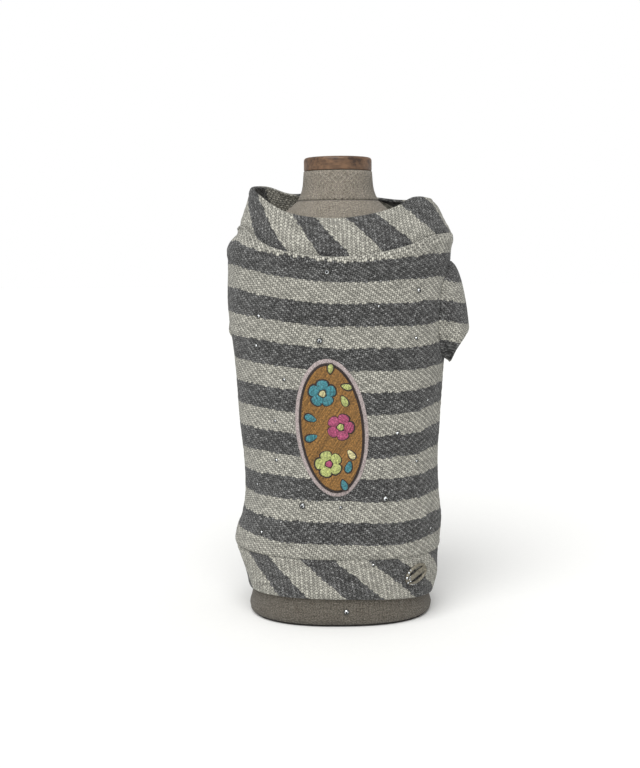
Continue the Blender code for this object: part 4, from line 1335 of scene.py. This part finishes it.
print("threads:", ", ".join(THREADS))

# %% [markdown]
# ## The embroidered patch
#
# The patch is a plain oval of felt, sewn with flowers and leaves. It is drawn flat, in mm
# across and up from its middle, and each point is then set on the back panel. Every shape
# is domed, as padded satin stitch is, and each motif stands on a slightly larger dark one
# that shows round it as an outline.

# %% Sizes of the patch
PATCH_CENTRE_X = -5.6
PATCH_CENTRE_Z = 132.0
PATCH_HALF_WIDTH = 23.0
PATCH_HALF_HEIGHT = 44.5
PATCH_LEAN = math.radians(5.4)
FELT_TOP = 1.3
MARGIN = 2.6  # bare felt between the patch's edge and its border
BORDER_WIDTH = 1.7
OUTLINE_SPREAD = 0.75
OUTLINE_SHARE = 0.4  # how high an outline stands beside the shape that it rings
OVAL_SIDES = 84
SKIRT = 0.4  # how far a shape's edge goes down into what it is sewn on
# Layers of sewing: where each starts above the panel, and how high it is domed.
Layer = namedtuple("Layer", "base height")
BORDER = Layer(1.1, 0.75)
GROUND = Layer(1.55, 0.5)
PETAL = Layer(1.9, 0.75)
EYE = Layer(2.3, 0.9)
LEAF = Layer(1.85, 0.6)
# How the threads turn, in degrees, against the patch or against a motif's own length.
BORDER_THREADS = 90.0
OUTLINE_THREADS = 90.0
GROUND_THREADS = 52.0
MOTIF_THREADS = 68.0

Motif = namedtuple("Motif", "across up turn length width colour")
Flower = namedtuple("Flower", "across up turn colour eye")
FLOWERS = [
    Flower(-3.6, 23.0, 12.0, "teal", "cream"),
    Flower(5.4, 0.6, -8.0, "pink", "lime"),
    Flower(-4.2, -22.4, 30.0, "lime", "pink"),
]
PETALS = 5
PETAL_LENGTH = 7.2
PETAL_WIDTH = 7.0
PETAL_ROOT = 1.4  # from the flower's middle to a petal's root
ROOT_NARROWING = 0.28
EYE_SIZE = 4.2
LEAVES = [
    Motif(8.2, 20.5, -70.0, 7.5, 4.0, "lime"), Motif(8.6, 27.0, -20.0, 6.6, 3.6, "lime"),
    Motif(2.4, 35.2, 80.0, 6.0, 3.4, "lime"), Motif(-9.0, 6.0, 150.0, 7.8, 4.2, "teal"),
    Motif(-9.4, -3.6, 195.0, 7.8, 4.2, "teal"), Motif(8.6, -14.6, -60.0, 7.2, 3.8, "cream"),
    Motif(9.4, -22.0, -110.0, 7.6, 4.0, "teal"), Motif(3.2, -33.6, -75.0, 7.0, 3.8, "teal"),
]


# %% Set flat places on the panel
SURFACE_ROUNDS = 5


def front_surface(x, z):
    """The point and outward normal of the back panel straight behind (x, z), in mm."""
    key = z
    for _ in range(SURFACE_ROUNDS):
        ring = section_at("body", round(key, 4))
        side = abs(ring.x_right if x > 0 else ring.x_left)
        cosine = math.copysign((abs(x) / side) ** (ring.squareness / 2.0), x)
        degrees = 360.0 - math.degrees(math.acos(cosine))
        key += z - body_cloth_point(degrees, round(key, 4)).z / MM
    return body_cloth_point(degrees, key), body_normal(degrees, key)


@lru_cache(maxsize=None)
def patch_place(across, up):
    x = PATCH_CENTRE_X + across * math.cos(PATCH_LEAN) - up * math.sin(PATCH_LEAN)
    z = PATCH_CENTRE_Z + across * math.sin(PATCH_LEAN) + up * math.cos(PATCH_LEAN)
    return front_surface(x, z)


def on_patch(name, rows, thread_turn, finish):
    """A sheet through rows of (across, up, height), in mm. Its threads run at thread_turn."""
    turn = math.radians(thread_turn)
    points, places = [], []
    for row in rows:
        line, place_line = [], []
        for across, up, height in row:
            place, normal = patch_place(round(across, 2), round(up, 2))
            line.append(place + normal * height * MM)
            along = across * math.cos(turn) + up * math.sin(turn)
            place_line.append((along * MM, (up * math.cos(turn) - across * math.sin(turn)) * MM))
        points.append(line)
        places.append(place_line)
    return lay_grid(name, points, places, finish, is_tube=True)


def domed(name, outline, layer, thread_turn, finish, rings=5):
    """A dome over an outline of places across and up, with a skirt down to the felt."""
    across = sum(a for a, _ in outline[:-1]) / (len(outline) - 1)
    up = sum(u for _, u in outline[:-1]) / (len(outline) - 1)
    rows = []
    for i in range(rings + 1):
        share = math.sin(math.pi / 2 * i / rings)
        z = layer.base + layer.height * math.cos(math.pi / 2 * i / rings)
        rows.append([(across + (a - across) * share, up + (u - up) * share, z) for a, u in outline])
    rows.append([(a, u, layer.base - SKIRT) for a, u in outline])
    return on_patch(name, rows[::-1], thread_turn, finish)


# %% Sew the patch
def oval(half_width, half_height, count=OVAL_SIDES):
    turns = [2.0 * math.pi * i / count for i in range(count + 1)]
    return [(half_width * math.cos(t), half_height * math.sin(t)) for t in turns]


def drop_outline(motif, spread=0.0, count=20):
    """A leaf or petal: an oval, narrower at its root, which grows out at its turn."""
    turn = math.radians(motif.turn)
    outline = []
    for x, y in oval(motif.length / 2 + spread, motif.width / 2 + spread, count):
        y *= 1.0 + ROOT_NARROWING * x / (motif.length / 2)
        x += motif.length / 2
        across = motif.across + x * math.cos(turn) - y * math.sin(turn)
        outline.append((across, motif.up + x * math.sin(turn) + y * math.cos(turn)))
    return outline


def sew_motif(motif, layer):
    under = layer._replace(height=layer.height * OUTLINE_SHARE)
    ring = drop_outline(motif, OUTLINE_SPREAD)
    dark = domed("outline", ring, under, motif.turn + OUTLINE_THREADS, THREADS["outline"], 3)
    turn = motif.turn + MOTIF_THREADS
    return [dark, domed("petal", drop_outline(motif), layer, turn, THREADS[motif.colour])]


half_sizes = (PATCH_HALF_WIDTH, PATCH_HALF_HEIGHT)
sewn = [domed("felt", oval(*half_sizes), Layer(0.0, FELT_TOP), 0.0, felt, 8)]
half_sizes = [size - MARGIN for size in half_sizes]
sewn.append(domed("border", oval(*half_sizes), BORDER, BORDER_THREADS, THREADS["outline"], 6))
half_sizes = [size - BORDER_WIDTH for size in half_sizes]
sewn.append(domed("ground", oval(*half_sizes), GROUND, GROUND_THREADS, THREADS["ground"], 8))
for flower in FLOWERS:
    for i in range(PETALS):
        turn = flower.turn + 360.0 * i / PETALS
        across = flower.across + PETAL_ROOT * math.cos(math.radians(turn))
        up = flower.up + PETAL_ROOT * math.sin(math.radians(turn))
        petal = Motif(across, up, turn, PETAL_LENGTH, PETAL_WIDTH, flower.colour)
        sewn += sew_motif(petal, PETAL)
    eye = Motif(flower.across - EYE_SIZE / 2, flower.up, 0.0, EYE_SIZE, EYE_SIZE, flower.eye)
    sewn += sew_motif(eye, EYE)
for leaf in LEAVES:
    sewn += sew_motif(leaf, LEAF)
patch = join_pieces("embroidered_patch", sewn)

# %% [markdown]
# ## The slider charm and the rhinestones
#
# The charm on the hem band is a small oval slider: a round-edged rim with a bar across,
# three set stones and a few beads near one end. The rhinestones are set in plain round
# cups, large and small, and each is a copy of the same small piece.

# %% Sizes of the trims
CHARM_ANGLE = 312.0
CHARM_Z = 33.5
CHARM_HALF_WIDTH = 9.2
CHARM_HALF_HEIGHT = 5.8
CHARM_TILT = 28.0
CHARM_LIFT = 1.1
RIM_RADIUS = 1.0
BAR_INSET = 1.2
BAR_WIDTH = 3.2
BAR_THICKNESS = 1.2
BAR_BEVEL = 0.35
STONE_LEVEL = 0.7
BEAD_LEVEL = 0.5
# Stones and beads on the charm: place along and across it, and radius.
CHARM_STONES = [(-4.9, 4.3, 1.2), (-7.7, 2.2, 1.3), (-8.2, -1.0, 1.25)]
CHARM_BEADS = [
    (-6.9, -3.1, 0.6), (-5.9, -4.1, 0.5), (-4.7, -4.7, 0.5), (-3.0, 5.1, 0.5),
    (-6.2, 0.4, 0.55), (-5.2, 1.9, 0.5), (-6.3, -1.3, 0.5),
]
LARGE_STONE = 2.1
SMALL_STONE = 1.2
# Rhinestones on the back panel: degrees round the body, height of the row, and radius.
STONES = [
    (265.5, 230.7, LARGE_STONE), (262.1, 187.3, LARGE_STONE), (291.2, 85.6, LARGE_STONE),
    (251.4, 81.3, LARGE_STONE), (309.9, 214.8, 1.5), (228.9, 199.7, 1.4),
    (286.3, 208.5, SMALL_STONE), (225.1, 181.2, SMALL_STONE), (309.5, 188.6, SMALL_STONE),
    (242.8, 161.7, SMALL_STONE), (235.4, 135.1, SMALL_STONE), (299.0, 127.4, 1.5),
    (323.0, 146.9, SMALL_STONE), (234.2, 110.0, SMALL_STONE), (214.4, 92.1, SMALL_STONE),
    (269.9, 80.5, SMALL_STONE), (314.7, 107.8, SMALL_STONE), (326.8, 62.3, SMALL_STONE),
    (224.0, 61.1, SMALL_STONE),
]
BAND_STONE = (283.4, 0.897, SMALL_STONE)
FORM_STONE = (271.5, 11.0, 2.0)
STONE_LEVEL_ALONE = 0.28  # in radii, as the next ones are
SETTING_RADIUS = 0.88
SETTING_WIRE = 0.12
FACETS_RADIUS = 0.84
FACETS_TOP = 0.4
TABLE_RADIUS = 0.34
TABLE_THICKNESS = 0.1
TABLE_LEVEL = 0.28
# The dark table, a painted reflection, sits a little low in each stone.
TABLE_DROP = 0.12
FACETS = 10


# %% Stand things on the cloth
def place_on(surface, degrees, key, key_step, lift, turn=0.0, step=2.0):
    """A matrix that stands a thing on a surface here, with its own Z out of the surface. Its
    axes are read from points that are key_step, and step degrees, away."""
    place = surface(degrees, key)
    across = surface(degrees + step, key) - surface(degrees - step, key)
    up = surface(degrees, key + key_step) - surface(degrees, key - key_step)
    normal = across.cross(up).normalized()
    axes = Matrix((across.normalized(), normal.cross(across).normalized(), normal)).transposed()
    turned = axes @ Matrix.Rotation(math.radians(turn), 3, "Z")
    return Matrix.Translation(place + normal * lift * MM) @ turned.to_4x4()


def made_here(finish, smooth=True):
    """The piece that an operator has just made, with its finish."""
    piece = bpy.context.object
    piece.data.materials.clear()
    piece.data.materials.append(finish)
    if smooth and piece.type == "MESH":
        piece.data.shade_smooth()
    return piece


def ball(x, y, z, radius, finish):
    bpy.ops.mesh.primitive_ico_sphere_add(
        subdivisions=2, radius=radius * MM, location=(x * MM, y * MM, z * MM)
    )
    return made_here(finish)


def set_stone(x, y, z, radius):
    """A cut stone in a round setting: bright sloping facets round a flat table whose dark colour is
    a painted reflection.
    """
    size = radius * MM
    bpy.ops.mesh.primitive_torus_add(
        major_segments=20, minor_segments=8, location=(x * MM, y * MM, z * MM),
        major_radius=SETTING_RADIUS * size, minor_radius=SETTING_WIRE * size,
    )
    ring = made_here(rim_metal)
    bpy.ops.mesh.primitive_cone_add(
        vertices=FACETS, radius1=FACETS_RADIUS * size, radius2=FACETS_TOP * size,
        depth=FACETS_TOP * size, location=(x * MM, y * MM, z * MM + TABLE_THICKNESS * size),
    )
    facets = made_here(bright_glass, smooth=False)
    # The table: a painted dark reflection.
    bpy.ops.mesh.primitive_cylinder_add(
        vertices=FACETS, radius=TABLE_RADIUS * size, depth=TABLE_THICKNESS * size,
        location=(x * MM, y * MM - TABLE_DROP * size, z * MM + TABLE_LEVEL * size),
    )
    table = made_here(painted_reflection_glass, smooth=False)
    return [ring, facets, table]


# %% Make the charm
def build_charm():
    """The charm flat, round its own middle."""
    bpy.ops.curve.primitive_bezier_circle_add(radius=1.0)
    rim = made_here(tarnished)
    for spot in rim.data.splines[0].bezier_points:
        for part in ("co", "handle_left", "handle_right"):
            x, y, z = getattr(spot, part)
            half_width = (CHARM_HALF_WIDTH - RIM_RADIUS) * MM
            setattr(spot, part, (x * half_width, y * (CHARM_HALF_HEIGHT - RIM_RADIUS) * MM, z))
    rim.data.resolution_u = 16
    rim.data.bevel_depth = RIM_RADIUS * MM
    rim.data.bevel_resolution = 4
    select_only(rim)
    bpy.ops.object.convert(target="MESH")
    parts = [bpy.context.object]
    parts[0].data.shade_smooth()
    bpy.ops.mesh.primitive_cube_add(size=1.0)
    bar = made_here(tarnished, smooth=False)
    bar_length = 2 * (CHARM_HALF_WIDTH - BAR_INSET)
    bar.scale = (bar_length * MM, BAR_WIDTH * MM, BAR_THICKNESS * MM)
    bpy.ops.object.transform_apply(location=False, rotation=False, scale=True)
    apply_modifier(bar, "BEVEL", width=BAR_BEVEL * MM, segments=3)
    parts.append(bar)
    for x, y, radius in CHARM_STONES:
        parts += set_stone(x, y, STONE_LEVEL, radius)
    for x, y, radius in CHARM_BEADS:
        parts.append(ball(x, y, BEAD_LEVEL, radius, bright_glass))
    return join_pieces("slider_charm_trim", parts)


BAND_KEY_STEPS = 50


def band_key_at(degrees, height):
    """The place in the band's table whose cloth is at this height in mm."""
    keys = [k / BAND_KEY_STEPS for k in range(BAND_KEY_STEPS + 1)]
    return min(keys, key=lambda k: abs(band_cloth_point(degrees, k).z / MM - height))


charm = build_charm()
charm_key = band_key_at(CHARM_ANGLE, CHARM_Z)
charm.matrix_world = place_on(
    band_cloth_point, CHARM_ANGLE, charm_key, key_step=0.05, lift=CHARM_LIFT, turn=CHARM_TILT
)
charm = join_pieces("slider_charm_trim", [charm])  # puts its origin back at the frame's own


# %% Set the rhinestones
STONE_LIFT = 0.1


def copy_of(piece, matrix, size):
    select_only(piece)
    bpy.ops.object.duplicate()
    twin = bpy.context.object
    twin.matrix_world = matrix @ Matrix.Scale(size, 4)
    return twin


stone = join_pieces("rhinestone", set_stone(0.0, 0.0, STONE_LEVEL_ALONE, 1.0))
set_stones = []
for surface, key_step, stones in (
    (body_cloth_point, 1.5, STONES),
    (band_cloth_point, 0.03, [BAND_STONE]),
    (form_point, 0.5, [FORM_STONE]),
):
    for degrees, key, radius in stones:
        matrix = place_on(surface, degrees, key, key_step, STONE_LIFT)
        set_stones.append(copy_of(stone, matrix, radius))
bpy.data.objects.remove(stone)
rhinestones = join_pieces("rhinestones", set_stones)

# %% [markdown]
# ## Place the pieces in the frame
#
# Each piece rides on the one body of this model and stands for its solid, which is
# hidden.

# %% Ride on the body and replace the solids
for piece, node, slot in (
    (back_panel, "back_panel", "striped_terry"),
    (belly_panel, "belly_panel", "striped_terry"),
    (sleeve_right, "sleeve_right", "striped_terry"),
    (sleeve_left, "sleeve_left", "striped_terry"),
    (collar, "cowl_collar", "bias_terry"),
    (band, "hem_band", "bias_terry"),
    (linen_form, "form_body", "linen"),
    (neck_cap, "neck_cap", "turned_wood"),
    (patch, "applique_patch", "embroidered_felt"),
    (charm, "slider_charm", "nickel"),
):
    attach(piece, "root")
    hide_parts(node)
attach(rhinestones, "root")

# %% [markdown]
# ## Floor, light and camera
#
# The floor is plain and pale, the light is soft and comes from above and in front, and
# the camera stands where the photograph's did, looking down a little.

# %% Floor
FLOOR_SIDE = 12.0

select_only()
bpy.ops.mesh.primitive_plane_add(size=FLOOR_SIDE, location=(0.0, 0.0, 0.0))
floor = bpy.context.object
floor.name = "floor"
paint = mottled("matt_white_paint", "F4F4F2", grain=4.0, spread=0.006, Roughness=0.8)
floor.data.materials.append(paint)

# %% Light
WORLD_LIGHT = 0.55
KEY_LIGHT = 2.6
KEY_HEIGHT = math.radians(52.0)
KEY_SIDE = math.radians(-15.0)
KEY_SPREAD = math.radians(50.0)

world = bpy.data.worlds.new("soft_studio")
bpy.context.scene.world = world
world.use_nodes = True
sky = world.node_tree
sky.nodes["Background"].inputs["Color"].default_value = (1.0, 1.0, 1.0, 1.0)
sky.nodes["Background"].inputs["Strength"].default_value = WORLD_LIGHT
# The camera sees plain white, whatever light the sky gives.
white = add_node(sky, "Background", {"Color": (1.0, 1.0, 1.0, 1.0), "Strength": 1.0})
seen = add_node(sky, "LightPath", out="Is Camera Ray")
sky_mix = add_node(sky, "MixShader", (seen, sky.nodes["Background"].outputs[0], white))
sky.links.new(sky_mix, sky.nodes["World Output"].inputs["Surface"])

bpy.ops.object.light_add(type="SUN", rotation=(math.pi / 2 - KEY_HEIGHT, 0.0, KEY_SIDE))
key_light = bpy.context.object
key_light.name = "soft_key"
key_light.data.energy = KEY_LIGHT
key_light.data.angle = KEY_SPREAD
bpy.context.scene.view_settings.view_transform = "Standard"

# %% Camera
CAMERA_PLACE = Vector((-12.9, -772.0, 247.2)) * MM
CAMERA_DOWN = math.radians(6.9)
CAMERA_ROLL = math.radians(-0.47)
FOCAL_PIXELS = 1150.0
PICTURE_HEIGHT = 768.0
SENSOR = 36.0

camera_data = bpy.data.cameras.new("camera")
camera_data.sensor_width = SENSOR
camera_data.lens = FOCAL_PIXELS / PICTURE_HEIGHT * SENSOR
camera = bpy.data.objects.new("camera", camera_data)
bpy.context.scene.collection.objects.link(camera)
camera.matrix_world = (
    Matrix.Translation(CAMERA_PLACE)
    @ Matrix.Rotation(math.pi / 2 - CAMERA_DOWN, 4, "X")
    @ Matrix.Rotation(CAMERA_ROLL, 4, "Z")
)
bpy.context.scene.camera = camera
